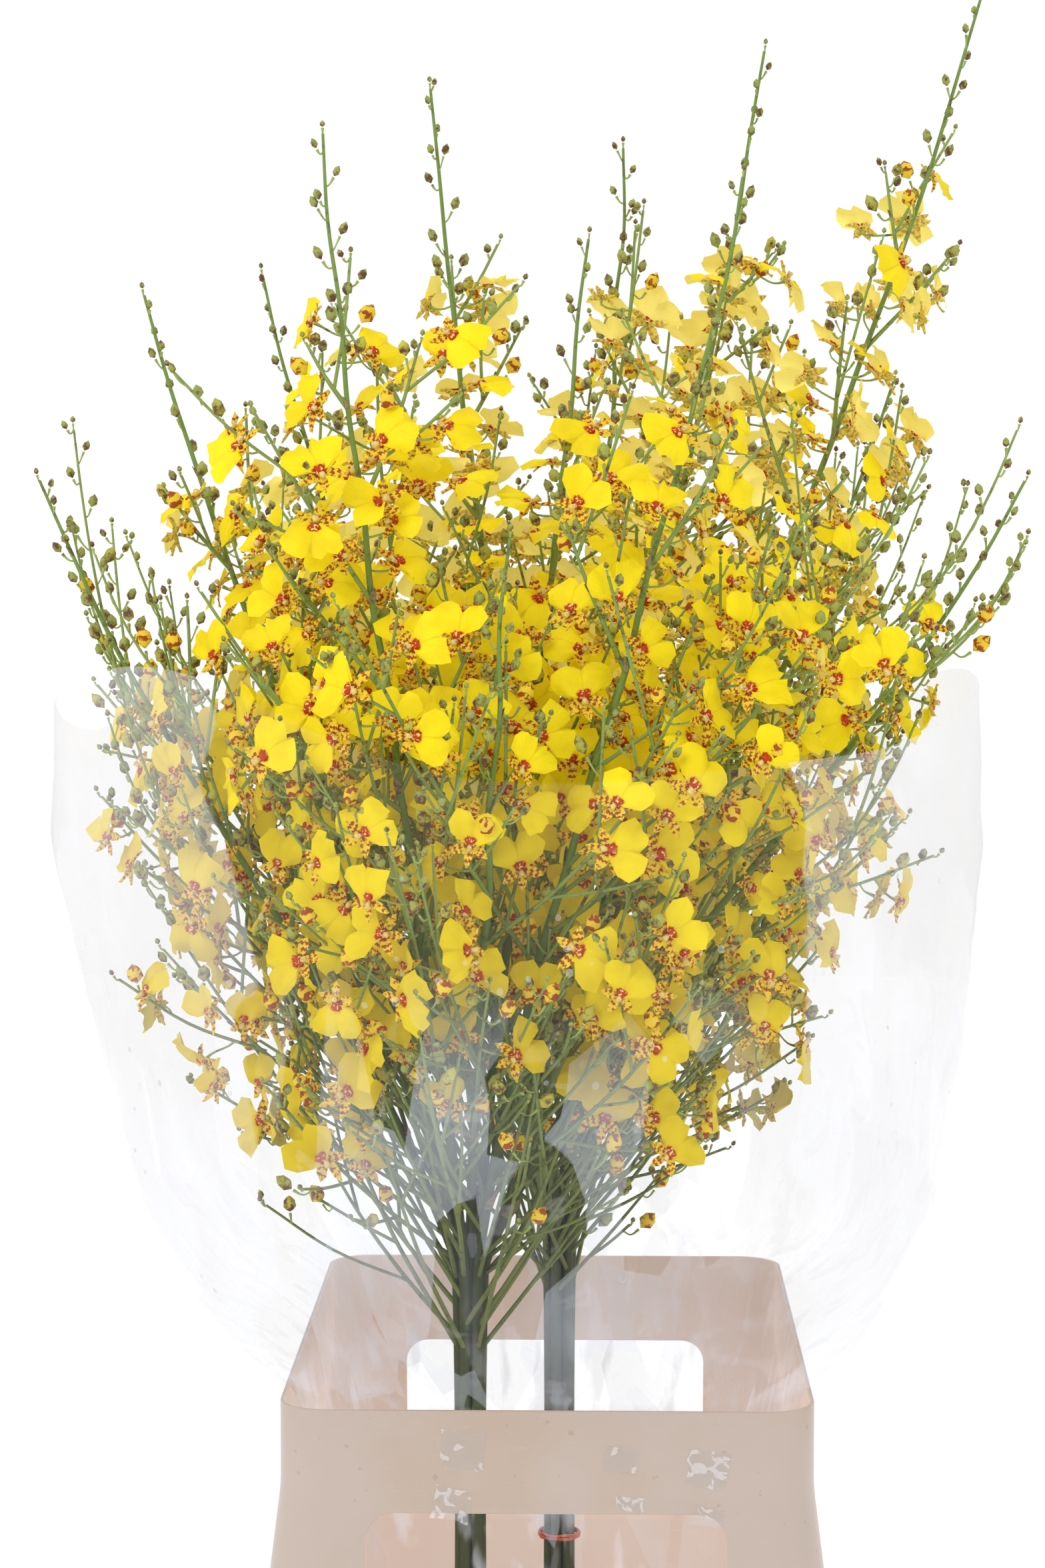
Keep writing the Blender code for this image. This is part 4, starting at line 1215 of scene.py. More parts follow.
def lip_material(colours):
    """The lip: clear yellow with fine veins, paler behind, stained red round the callus, deeper yellow
    lower in the bunch and down its middle fold as painted shade, with a painted glow.
    """
    material, nodes, shader = new_material("orchid_lip")
    across_lip, along_lip, flat = nodes.across_along()
    tint = nodes.number("tint")
    height = nodes.height()
    # Painted shade: deeper yellow lower in the bunch, where less light reaches.
    painted_low_shade = nodes.times(nodes.between(height, RIM_Z + 0.42, RIM_Z + 0.12), 0.50)
    clouds = nodes.between(nodes.noise(nodes.place(), 75.0, 2.0), 0.40, 0.72)
    deepened = nodes.plus(nodes.times(tint, 0.35), nodes.times(clouds, 0.35))
    deep = nodes.mix(nodes.plus(deepened, painted_low_shade, True), colours.lip, colours.lip_deep_and_shade)
    veins = nodes.add("TexWave", wave_type="BANDS", bands_direction="X")
    nodes.put(veins.inputs["Vector"], flat)
    veins.inputs["Scale"].default_value = 7.0
    veins.inputs["Distortion"].default_value = 2.5
    veins.inputs["Detail"].default_value = 2.0
    veined = nodes.mix(nodes.times(veins.outputs["Fac"], 0.10), deep, colours.lip_deep_and_shade)
    wobble = nodes.times(nodes.noise(flat, 9.0, 3.0), 0.16)
    neck = nodes.between(nodes.plus(along_lip, wobble), 0.27, 0.19)
    # Painted shade: deeper yellow down the middle fold of the lip.
    aside = nodes.math("ABSOLUTE", nodes.minus(across_lip, 0.5))
    fold = nodes.times(nodes.between(aside, 0.035, 0.0), 0.55)
    veined = nodes.mix(fold, veined, colours.lip_deep_and_shade)
    stained = nodes.mix(neck, veined, colours.mark)
    behind = nodes.add("NewGeometry").outputs["Backfacing"]
    tone = nodes.mix(nodes.times(behind, 0.75), stained, colours.lip_back)
    shader["Base Color"] = tone
    # Painted glow: emission stands in for light through the lip, strongest from behind and higher up in
    # the bunch.
    through = nodes.mix(behind, nodes.mix(0.5, tone, BLACK), LIT_THROUGH)
    lit = nodes.times(nodes.between(height, RIM_Z + 0.16, RIM_Z + 0.46), 0.70)
    through = nodes.mix(nodes.plus(lit, 0.30), BLACK, through)
    shader["Emission Color"] = through
    shader["Emission Strength"] = colours.glow
    shader["Roughness"] = 0.6
    shader["Specular IOR Level"] = 0.2
    shader["Normal"] = nodes.bump(veins.outputs["Fac"], 0.15, 0.0004)
    return material


def tepal_material(colours, name="orchid_tepal"):
    """The tepals: yellow with broken red-brown bars across them, and a weaker painted glow."""
    material, nodes, shader = new_material(name)
    _, along_blade, flat = nodes.across_along()
    wobble = nodes.times(nodes.noise(flat, 5.0, 3.0), 0.38)
    step = nodes.plus(along_blade, wobble)
    bars = nodes.math("SINE", nodes.times(step, 23.0))
    broken = nodes.between(nodes.noise(nodes.place(), 330.0, 2.0), 0.38, 0.50)
    mask = nodes.times(nodes.between(bars, -0.10, 0.25), broken)
    mask = nodes.times(mask, nodes.between(along_blade, 0.98, 0.86))
    behind = nodes.add("NewGeometry").outputs["Backfacing"]
    ground = nodes.mix(nodes.times(behind, 0.5), colours.tepal, colours.lip_back)
    faded = nodes.times(mask, nodes.minus(1.0, nodes.times(behind, 0.45)))
    tone = nodes.mix(faded, ground, colours.bar)
    shader["Base Color"] = tone
    # Painted glow, weaker than the lip's, that stands in for light through the tepal.
    shader["Emission Color"] = tone
    shader["Emission Strength"] = colours.glow * 0.4
    shader["Roughness"] = 0.6
    shader["Specular IOR Level"] = 0.2
    return material


def callus_material(colours):
    """The warty callus: red-brown with cream teeth."""
    material, nodes, shader = new_material("orchid_callus")
    teeth = nodes.between(nodes.noise(nodes.place(), 620.0, 1.0), 0.56, 0.62)
    shader["Base Color"] = nodes.mix(teeth, colours.mark, (0.90, 0.70, 0.25, 1.0))
    shader["Roughness"] = 0.6
    shader["Specular IOR Level"] = 0.25
    shader["Normal"] = nodes.bump(nodes.noise(nodes.place(), 900.0, 2.0), 0.5, 0.0006)
    return material


def column_material(colours):
    """The column: pale yellow with a rusty hood."""
    material, nodes, shader = new_material("orchid_column")
    tone, _ = add_mottle(nodes, (0.86, 0.66, 0.20, 1.0), colours.bar, 420.0, 0.50)
    shader["Base Color"] = tone
    shader["Roughness"] = 0.4
    return material


def bract_material():
    """Papery brown scales at the nodes."""
    material, nodes, shader = new_material("orchid_bract")
    tone, _ = add_mottle(nodes, (0.30, 0.25, 0.11, 1.0), (0.13, 0.085, 0.04, 1.0), 300.0, 0.6)
    shader["Base Color"] = tone
    shader["Roughness"] = 0.7
    return material


def droplet_material():
    """Drops of water: clear, bright at the edge."""
    material, nodes, shader = new_material("water_drop")
    facing = nodes.add("LayerWeight")
    facing.inputs["Blend"].default_value = 0.45
    rim = nodes.between(facing.outputs["Facing"], 0.2, 0.9)
    speck = nodes.times(nodes.noise(nodes.place(), 200.0, 1.0), 0.12)
    shader["Base Color"] = nodes.mix(speck, (0.80, 0.85, 0.90, 1.0), (1.0, 1.0, 1.0, 1.0))
    shader["Alpha"] = nodes.plus(nodes.times(rim, 0.6), 0.10)
    shader["Roughness"] = 0.03
    shader["IOR"] = 1.33
    return material


# ================================================================ settings
def colour_setting(name, description, default):
    return FloatVectorProperty(
        name=name, description=description, subtype="COLOR", size=4, max=1.0, default=(*default, 1.0)
    )


def length_setting(name, description, default):
    return FloatProperty(name=name, description=description, default=default, unit="LENGTH")


def angle_setting(name, description, default):
    return FloatProperty(name=name, description=description, default=default, subtype="ANGLE")


def number_setting(name, description, default):
    return FloatProperty(name=name, description=description, default=default)


def count_setting(name, description, default):
    return IntProperty(name=name, description=description, default=default, min=1)


class OncidiumContainerSettings(bpy.types.PropertyGroup):
    """Sizes and colours of the bucket, its collar and the rubber bands."""

    collar_colour: colour_setting("Collar Colour", "Moulded plastic of the collar", (0.445, 0.366, 0.318))
    bucket_colour: colour_setting("Bucket Colour", "Moulded plastic of the bucket", (0.430, 0.352, 0.304))
    corner: length_setting("Corner", "Radius of the upright corners", CORNER)
    edge: length_setting("Edge", "Softening of the moulded edges", 0.0006)
    corner_steps: count_setting("Corner Steps", "Facets in each round corner", 8)
    rubber_colour: colour_setting("Rubber Colour", "Rubber bands round the stems", (0.58, 0.13, 0.04))
    rubber_turns: count_setting("Turns", "Turns of a rubber band", 3)


class OncidiumFilmSettings(bpy.types.PropertyGroup):
    """Shape and look of the film sleeve."""

    colour: colour_setting("Film Colour", "Tint of the haze on the film", (0.87, 0.89, 0.99))
    thickness: length_setting("Thickness", "Thickness of the film", 0.0003)
    crumple: length_setting("Crumple", "Depth of the creases", 0.0060)
    clearness: number_setting("Veil", "Haze of the film seen face on", 0.012)
    # Painted sheen down the film's sides, drawn as haze.
    painted_side_sheen: number_setting("Side Haze", "Haze of the folds down its sides", 0.095)
    # Strength of the painted reflections, the grey facets of shine.
    shine: number_setting("Shine", "Strength of the grey facets of shine", 0.21)
    droplets: count_setting("Droplets", "Water drops on the film", 70)


class OncidiumSpraySettings(bpy.types.PropertyGroup):
    """How densely the sprays are set with twigs, flowers and buds, and their colours."""

    twig_step: length_setting("Twig Spacing", "Distance between twigs on a branch", 0.045)
    flower_step: length_setting("Flower Spacing", "Distance between flowers on a branch", 0.0106)
    bud_step: length_setting("Bud Spacing", "Distance between buds near the tips", 0.0155)
    crowding: number_setting("Crowding", "Share of its own room that a further flower needs", 0.44)
    shoots_from: length_setting("Shoots From", "Height above the rim of the lowest shoots", 0.0)
    shoots_to: length_setting("Shoots To", "Height above the rim of the highest shoots", 0.32)
    shoot_step: length_setting("Shoot Spacing", "Distance between long shoots on a stem", 0.019)
    smooth_step: length_setting("Smooth Step", "Distance between rings along a stem", 0.009)
    # Painted shade of the stems low in the bunch and in the bucket.
    stem_shaded_low: colour_setting("Stem Foot", "Stems low in the bucket", (0.060, 0.085, 0.025))
    stem: colour_setting("Stem", "Stems above the collar", (0.190, 0.290, 0.058))
    stem_tip: colour_setting("Stalk", "Flower stalks and twig ends", (0.350, 0.440, 0.120))
    bud: colour_setting("Bud", "Green of a bud", (0.330, 0.380, 0.085))
    bud_mark: colour_setting("Bud Marks", "Clouds on a bud", (0.140, 0.060, 0.028))
    lip: colour_setting("Lip", "Yellow of the lip", (0.930, 0.740, 0.006))
    # Deeper yellow for the veins and random tone, and also the painted shade low in the bunch and down
    # the middle fold.
    lip_deep_and_shade: colour_setting("Lip Veins", "Deeper yellow of the lip", (0.680, 0.500, 0.003))
    lip_back: colour_setting("Lip Back", "Paler back of the lip", (0.840, 0.760, 0.230))
    tepal: colour_setting("Tepal", "Yellow of the narrow tepals", (0.780, 0.560, 0.030))
    bar: colour_setting("Tepal Bars", "Bars across the tepals", (0.330, 0.068, 0.012))
    mark: colour_setting("Callus", "Callus and the stain round it", (0.520, 0.050, 0.006))
    # Strength of the painted glow on lips and tepals, which stands in for light through the thin petals.
    glow: number_setting("Glow", "Light that thin petals let through", 0.30)


CAMERA_PLACE = (0.0245, -1.900, 0.770)  # level with the middle of the sprays


class OncidiumStageSettings(bpy.types.PropertyGroup):
    """Floor, lights and camera."""

    floor_colour: colour_setting("Floor Colour", "The plain floor", (0.70, 0.70, 0.70))
    floor_glow: number_setting("Floor Glow", "Lift that keeps the floor pale", 0.55)
    world: number_setting("Surround", "Light of the white surround", 0.88)
    shade: number_setting("Shade", "Share of the surround's light that comes from below", 0.35)
    key_power: number_setting("Key Power", "Power of the main soft light", 21.0)
    fill_power: number_setting("Fill Power", "Power of the soft side light", 6.0)
    lens: number_setting("Lens", "Focal length of the camera in millimetres", 77.22)
    camera_place: FloatVectorProperty(
        name="Camera Place", description="Where it stands", subtype="TRANSLATION", default=CAMERA_PLACE
    )
    camera_pitch: angle_setting("Camera Pitch", "How far the camera looks down", 0.0729)
    camera_turn: angle_setting("Camera Turn", "How far the camera looks to the left", 0.0215)


# ================================================================ shaping in edit mode
NEAR = 1e-4  # heights this close are the same


def select(item, kind, test):
    """Goes into edit mode with those edges or faces selected that pass the test."""
    pick(item)
    bpy.ops.object.mode_set(mode="EDIT")
    bpy.ops.mesh.select_mode(type=kind)
    bpy.ops.mesh.select_all(action="DESELECT")
    bm = bmesh.from_edit_mesh(item.data)
    bm.normal_update()
    for part in bm.edges if kind == "EDGE" else bm.faces:
        part.select = test(part)
    bm.select_flush_mode()
    bmesh.update_edit_mesh(item.data)


def select_edges(item, test):
    """Selects the edges whose two ends pass the test."""
    select(item, "EDGE", lambda edge: test(edge.verts[0].co, edge.verts[1].co))


def select_faces(item, test):
    """Selects the faces whose normal passes the test."""
    select(item, "FACE", lambda face: test(face.normal))


def block(name, half, low, high):
    """A block from its half sizes and the heights of its ends."""
    deselect()
    middle = (0.0, 0.0, (low + high) / 2)
    sizes = (2 * half[0], 2 * half[1], high - low)
    bpy.ops.mesh.primitive_cube_add(size=1, location=middle, scale=sizes)
    item = named(name)
    settle(item)
    return item


def round_uprights(item, radius, steps, axis=2):
    """Rounds the edges of a block that run along one axis."""
    select_edges(item, lambda a, b: abs(a[axis] - b[axis]) > NEAR)
    bpy.ops.mesh.bevel(offset=radius, segments=steps, affect="EDGES")
    object_mode()


def cut_level(item, height):
    """A new ring of edges round an upright wall."""
    pick(item)
    bpy.ops.object.mode_set(mode="EDIT")
    bpy.ops.mesh.select_all(action="SELECT")
    bpy.ops.mesh.bisect(plane_co=(0.0, 0.0, height), plane_no=(0.0, 0.0, 1.0))
    object_mode()


def resize_above(item, height, share_x, share_y):
    """Widens or narrows everything at or above a height."""
    select_edges(item, lambda a, b: min(a.z, b.z) > height - NEAR)
    bpy.ops.transform.resize(value=(share_x, share_y, 1.0), center_override=(0.0, 0.0, 0.0))
    object_mode()


def soften_level(item, height, width):
    """Rounds the ring of edges at a height."""
    select_edges(item, lambda a, b: max(abs(a.z - height), abs(b.z - height)) < NEAR)
    bpy.ops.mesh.bevel(offset=width, segments=3, affect="EDGES")
    object_mode()


def drop_lids(item, top=True, bottom=True):
    """Opens a block above, below or both."""
    select_faces(item, lambda normal: (top and normal.z > 0.9) or (bottom and normal.z < -0.9))
    bpy.ops.mesh.delete(type="FACE")
    object_mode()


def smooth_edges(item, width):
    """Fine rounding of every hard edge, with smooth shading."""
    limit = math.radians(40)
    apply_modifier(item, "BEVEL", width=width, segments=2, limit_method="ANGLE", angle_limit=limit)
    smooth_by(item, 35)


# ================================================================ bucket and collar
TAPE = 0.0001
TAPE_SCRAPS = (  # across, below the rim, half width, half height
    (-0.0430, 0.0205, 0.0115, 0.0100),
    (0.0385, 0.0250, 0.0090, 0.0062),
    (0.0835, 0.0300, 0.0108, 0.0094),
    (-0.0490, 0.0490, 0.0090, 0.0080),
    (0.0435, 0.0485, 0.0070, 0.0036),
    (0.0828, 0.0545, 0.0080, 0.0044),
)


def model_bucket(settings):
    """The tub: tapered walls, a flat floor and a flange with a lip."""
    out = (BUCKET_TOP[0] + FLANGE, BUCKET_TOP[1] + FLANGE)
    tub = block("moulded_bucket", BUCKET_FOOT, 0.0, BUCKET_Z)
    round_uprights(tub, settings.corner, settings.corner_steps)
    drop_lids(tub, bottom=False)
    resize_above(tub, BUCKET_Z, BUCKET_TOP[0] / BUCKET_FOOT[0], BUCKET_TOP[1] / BUCKET_FOOT[1])
    select_edges(tub, lambda a, b: min(a.z, b.z) > BUCKET_Z - NEAR)
    bpy.ops.mesh.extrude_region_move()
    bpy.ops.transform.resize(
        value=(out[0] / BUCKET_TOP[0], out[1] / BUCKET_TOP[1], 1.0), center_override=(0.0, 0.0, 0.0)
    )
    bpy.ops.mesh.extrude_region_move(TRANSFORM_OT_translate={"value": (0.0, 0.0, FLANGE_LIP)})
    object_mode()
    apply_modifier(tub, "SOLIDIFY", thickness=WALL, offset=-1.0, use_even_offset=True)
    smooth_edges(tub, settings.edge)
    finish_piece(tub, "bucket", plastic_material("bucket_plastic", settings.bucket_colour), "bucket")


def model_collar(settings):
    """The raised collar: straight rim, flare, skirt, and a window in front and behind."""
    collar = block("moulded_collar", COLLAR_SKIRT, BUCKET_Z + WALL + GAP, RIM_Z)
    round_uprights(collar, settings.corner, settings.corner_steps)
    drop_lids(collar)
    cut_level(collar, FLARE_END)
    cut_level(collar, FLARE_TOP)
    resize_above(collar, FLARE_TOP, COLLAR_TOP[0] / COLLAR_SKIRT[0], COLLAR_TOP[1] / COLLAR_SKIRT[1])
    soften_level(collar, FLARE_TOP, SOFT)
    soften_level(collar, FLARE_END, SOFT)
    apply_modifier(collar, "SOLIDIFY", thickness=WALL, offset=-1.0, use_even_offset=True)
    cutter = block("window_cutter", (WINDOW_WIDTH / 2, COLLAR_SKIRT[1] + 0.02), *WINDOW_Z)
    round_uprights(cutter, WINDOW_CORNER, 6, axis=1)
    apply_modifier(collar, "BOOLEAN", object=cutter, operation="DIFFERENCE", solver="EXACT")
    remove(cutter)
    smooth_edges(collar, settings.edge)
    finish_piece(collar, "collar", plastic_material("collar_plastic", settings.collar_colour), "collar")


def collar_face(below):
    """Distance of the collar's outer face from the middle, at a depth below the rim."""
    share = (below - (RIM_Z - FLARE_TOP)) / (FLARE_TOP - FLARE_END)
    return COLLAR_TOP[1] + (COLLAR_SKIRT[1] - COLLAR_TOP[1]) * min(max(share, 0.0), 1.0)


def scrap_shape(number, x, below, half_x, half_z, lean):
    """A torn scrap that lies on the collar, a little lifted here and there."""

    def place(u, v):
        u, v = u * 2 - 1, v * 2 - 1
        torn = 1.0 + 0.22 * noise.noise(Vector((u * 1.7, v * 1.7, number * 3.1)))
        across_scrap = (u * half_x * torn) + v * half_z * lean
        height = below - (v * half_z * torn - u * half_x * lean)
        lift = 0.0003 + 0.0006 * abs(noise.noise(Vector((u * 2.6, v * 3.4, number * 5.7))))
        return x + across_scrap, -collar_face(height) - lift, RIM_Z - height

    return place


def model_tape():
    """Torn scraps of clear tape left on the front of the collar."""
    scraps = []
    rng = random.Random(5)
    for number, scrap_sizes in enumerate(TAPE_SCRAPS):
        place = scrap_shape(number, *scrap_sizes, rng.uniform(-0.25, 0.25))
        scrap = grid_piece("tape_scrap", 12, 9, place)
        apply_modifier(scrap, "SOLIDIFY", thickness=TAPE, offset=0.0)
        smooth_by(scrap, 50)
        scraps.append(scrap)
    finish_piece(join(scraps, "tape_scraps"), "collar", tape_material())


def model_bands(settings):
    """Rubber bands, each wound a few times round its bunch."""
    rubber = rubber_material(settings.rubber_colour)
    bunches = (
        ("rubber_band_front", FRONT_CLUMP, FRONT_TIPS, FRONT_BAND_Z),
        ("rubber_band_back", BACK_CLUMP, BACK_TIPS, BACK_BAND_Z),
    )
    for name, centre, tips, z in bunches:
        out = clump_places(centre, tips) - np.array(centre)
        inner = float(np.linalg.norm(out, axis=1).max()) + STEM_FOOT + GAP
        points = []
        steps = BAND_STEPS * settings.rubber_turns
        for i in range(steps):
            turn = 2 * math.pi * i / BAND_STEPS
            share = 2 * math.pi * i / steps
            radius = inner + BAND_THICK / 2 + 0.0003 * math.sin(share * 2 + 1.0)
            lift = 0.0012 * math.sin(share) + 0.0003 * math.sin(5 * turn + share)
            x, y = centre[0] + radius * math.cos(turn), centre[1] + radius * math.sin(turn)
            points.append((x, y, z + lift))
        band = sweep(name + "_wound", [(points, [BAND_THICK * 0.38] * steps)], 2, closed=True)
        finish_piece(band, "rubber_band", rubber, name)


# ================================================================ film sleeve
def film_crumple(angle, height, depth):
    """How far the film stands in or out at a place: broad dents and sharp creases."""
    around = Vector((math.cos(angle), math.sin(angle), height * 4.0))
    broad = noise.noise(around * 1.7 + Vector((3.0, 1.0, 0.0)))
    slanted = Vector((math.cos(angle + height), math.sin(angle + height), height * 2.2))
    crease = 1.0 - abs(noise.noise(slanted * 3.3)) * 3.2
    fine = 1.0 - abs(noise.noise(around * 6.1 + Vector((0.0, 7.0, 0.0)))) * 3.0
    return depth * (0.75 * broad + 0.35 * max(crease, 0.0) + 0.13 * max(fine, 0.0) - 0.28)


def film_point(angle, height, settings):
    """A place on the dressed film: pinched at the rim, free above it."""
    centre = film_section(height)[3]
    radius = film_radius(angle, height) - FILM / 2
    free = min(max((height - 0.004) / 0.05, 0.0), 1.0)
    radius += film_crumple(angle, height, settings.crumple) * free
    gathered = 0.0007 * math.cos(31 * angle + 2.0 * math.sin(3 * angle))
    gathered = gathered * max(0.0, 1.0 - abs(height - 0.02) / 0.06)
    radius += min(gathered, 0.0) if height < 0.004 else gathered
    return centre + radius * math.cos(angle), radius * math.sin(angle), RIM_Z + height


def model_sleeve(settings):
    """The film sleeve: one thin sheet round the sprays, waved at its mouth."""

    def place(u, v):
        angle = 2 * math.pi * u
        low = FILM_ROWS[0][0]
        return film_point(angle, low + (film_mouth(angle) - low) * v, settings)

    sleeve = grid_piece("film_sleeve", 168, 70, place)
    weld(sleeve, 0.00001)
    apply_modifier(sleeve, "SOLIDIFY", thickness=settings.thickness, offset=0.0)
    smooth_by(sleeve, 60)
    finish_piece(sleeve, "film", film_material(settings), "sleeve")


DROP_SIZES = (0.0007, 0.0019)
DROP_HEIGHT = 0.38  # of its size


def model_droplets(settings):
    """Small flat drops of water that cling to the outside of the film."""
    deselect()
    bpy.ops.mesh.primitive_uv_sphere_add(segments=10, ring_count=6, radius=1.0)
    drop = named("film_drop")
    rng = random.Random(21)
    drops = []
    for number in range(settings.droplets):
        angle = rng.uniform(0, 2 * math.pi) if number % 3 else rng.gauss(-1.75, 0.35)
        height = rng.uniform(0.02, 0.30) if number % 3 else rng.gauss(0.225, 0.03)
        spot = Vector(film_point(angle, height, settings))
        aside = Vector(film_point(angle + 0.02, height, settings)) - spot
        above = Vector(film_point(angle, height + 0.005, settings)) - spot
        normal = aside.cross(above).normalized()
        size = rng.uniform(*DROP_SIZES)
        scale = Matrix.Diagonal((size, size * rng.uniform(0.9, 1.3), size * DROP_HEIGHT, 1.0))
        drops.append(copy_to(drop, Matrix.Translation(spot) @ facing(normal) @ scale))
    remove(drop)
    joined = join(drops, "film_droplets")
    bpy.ops.object.shade_smooth()
    finish_piece(joined, "film", droplet_material())


def copy_to(model, place, tint=None):
    """A copy of a modelled shape with its own mesh, settled at its place."""
    item = new_object(model.name, model.data.copy())
    item.data.transform(place)
    if tint is not None:
        mark(item.data, "tint", tint)
    return item


# ================================================================ stems
STALK_RADII = (0.00075, 0.0006, 0.0006, 0.0006, 0.0007, 0.0011)
BUD_STALK_RADII = (0.0006, 0.0005, 0.0005, 0.0005, 0.0006, 0.0009)
BUD_NECK = 0.42  # how much of a bud's reach is its stalk
STEM_TINT, BRANCH_TINT, STALK_TINT = 0.0, 0.45, 1.0  # how far each has the tips' paler green
BRACT_GRIP = 1.05  # a scale's radius against its stem's


def spray_name(number):
    return f"spray_{number + 1:02d}"


def model_bract():
    """A papery scale that wraps a stem at a node: a short open cone with a point."""

    def place(u, v):
        turn = (u - 0.5) * 2.6 * (1 - 0.75 * v * v)
        radius = 1.0 + 0.55 * v
        return radius * math.sin(turn), -radius * math.cos(turn), v * 4.5 - 1.5 * abs(u - 0.5) * v

    scale = grid_piece("bract", 5, 3, place)
    apply_modifier(scale, "SOLIDIFY", thickness=0.12, offset=1.0)
    smooth_by(scale, 60)
    return scale


def bract_places(spray, rng):
    """Where the scales sit: at every node of the stem, and at the foot of each branch."""
    places = []
    lines = [(spray["stem"], spray["radii"], 2)]
    lines += [(line["points"], line["radii"], 1) for line in spray["branches"]]
    for points, radii, ends in lines:
        for i in range(ends, len(points) - ends):
            way = unit(points[i + 1] - points[i])
            places.append((points[i], way, radii[i] * BRACT_GRIP, rng.uniform(0, TURN)))
    return places


def stalk_line(foot, end, behind, sag):
    """A thin sagging stalk from a stem to the back of a flower or the foot of a bud."""
    first = foot + (end - foot) * 0.35 - np.array((0.0, 0.0, sag))
    second = end - behind
    parts = len(STALK_RADII) - 1
    return [bezier(foot, first, second, end, i / parts) for i in range(parts + 1)]


def bud_frame(foot, tip):
    """Where a bud sits on its stalk, and its axis: out from the stem, bent upright."""
    neck = foot + (tip - foot) * BUD_NECK
    length = float(np.linalg.norm(tip - neck))
    return neck, unit(unit(tip - neck) + np.array((0.0, 0.0, 0.85))) * length


def nearest_on(spots, foot):
    """The one of many places that is nearest to a foot."""
    return spots[int(((spots - foot) ** 2).sum(1).argmin())]


def model_stems(number, spray, settings, materials, scale):
    """One spray's stem, branches, twigs, stalks and scales."""
    step = settings.smooth_step
    lines = [smooth_line(line["points"], line["radii"], step) for line in grown_lines(spray)]
    spots = np.array([spot for line in lines for spot in line[0]])
    main = sweep("stem", lines[:1], 2)
    mark(main.data, "tint", STEM_TINT)
    side = sweep("branches", lines[1:], 1)
    mark(side.data, "tint", BRANCH_TINT)
    stalks = []
    for foot, (centre, _, _, face) in spray["flowers"]:
        points = stalk_line(nearest_on(spots, foot), centre - face * 0.0012, face * 0.008, 0.002)
        stalks.append((points, STALK_RADII))
    for foot, tip, _ in spray["buds"]:
        neck, way = bud_frame(foot, tip)
        points = stalk_line(nearest_on(spots, foot), neck, way * 0.6, 0.0015)
        stalks.append((points, BUD_STALK_RADII))
    thin = sweep("stalks", stalks, 0)
    mark(thin.data, "tint", STALK_TINT)
    joined = join([main, side, thin], spray_name(number) + "_stems")
    finish_piece(joined, "spray", materials["stem"], spray_name(number))
    bracts = []
    for spot, way, radius, turn in bract_places(spray, random.Random(number + 70)):
        place = Matrix.Translation(Vector(spot)) @ facing(way) @ Matrix.Rotation(turn, 4, "Z")
        bracts.append(copy_to(scale, place @ Matrix.Scale(radius, 4)))
    joined = join(bracts, spray_name(number) + "_bracts")
    finish_piece(joined, "spray", materials["bract"], spray_name(number))


# ================================================================ flowers and buds
LIP_REACH = (  # degrees from the middle of the lip, and how far it reaches there
    (0, 0.0160),
    (11, 0.0198),
    (28, 0.0222),
    (48, 0.0222),
    (62, 0.0196),
    (71, 0.0140),
    (77, 0.0086),
    (84, 0.0050),
)
LIP_FOOT = 0.0016
LIP_SPREAD = 168  # degrees from one shoulder of the lip to the other


def lip_reach(degrees):
    """Length of the lip at an angle from its middle: a notch, two lobes, then a narrow claw."""
    degrees = abs(degrees)
    for (low, a), (high, b) in zip(LIP_REACH, LIP_REACH[1:]):
        if degrees <= high:
            t = (degrees - low) / (high - low)
            return a + (b - a) * t * t * (3 - 2 * t)
    return LIP_REACH[-1][1]


def lip_shape(seed, curl, fold):
    """The broad two-lobed lip, waved along its edge and a little folded down its middle."""

    def place(u, v):
        bent = u - 0.5
        degrees = -LIP_SPREAD * (0.75 * bent + bent * abs(bent) * 0.5)
        turn = math.radians(degrees)
        wave = noise.noise(Vector((u * 6.3, seed * 4.7, 0.3)))
        wave += 0.8 * noise.noise(Vector((u * 19.0, seed, 4.0)))
        radius = LIP_FOOT + (lip_reach(degrees) - LIP_FOOT) * v * (1 + 0.13 * wave * v)
        ruffle = 0.0016 * math.sin(turn * 7.0 + seed * 2.1) + 0.0013 * math.sin(turn * 16.0 + seed)
        lift = 0.0028 * math.sin(v * math.pi * 0.8) - curl * v**2 + ruffle * v**3
        lift += fold * abs(math.sin(turn)) * v
        return radius * math.sin(turn), 0.0004 - radius * math.cos(turn), lift

    return place


def tepal_shape(degrees, length, width, curl, seed):
    """A narrow tepal with a crisped edge that bends back or forward at its tip."""
    turn = math.radians(degrees)
    way = Vector((math.sin(turn), math.cos(turn), 0.0))
    side = Vector((way.y, -way.x, 0.0))

    def place(u, v):
        broad = 0.34 + 2.3 * v * (1 - v) ** 0.9 if v < 0.99 else 0.10
        aside = width * 0.5 * broad * (u - 0.5) * 2
        crisp = 0.0009 * math.sin(v * 9 + seed * 1.3 + u * 2.5) * abs(u - 0.5) * 2
        trough = abs(u - 0.5) * 0.0026
        lift = trough + crisp + curl * v * v - 0.0010
        bend = 0.0016 * math.sin(seed * 1.7 + degrees)
        return way * (0.0010 + length * v) + side * (aside + bend * v * v) + Vector((0, 0, lift))

    return place


FLOWER_KINDS = 7
FLOWER_SIZES = (0.80, 1.04)
# Each tepal: degrees from the top, length, width, and how far its tip stands forward.
TEPALS = (
    (0, 0.0120, 0.0056, 0.0025),
    (63, 0.0116, 0.0064, 0.0010),
    (-63, 0.0116, 0.0064, 0.0010),
    (118, 0.0112, 0.0050, -0.0035),
    (-118, 0.0112, 0.0050, -0.0035),
)


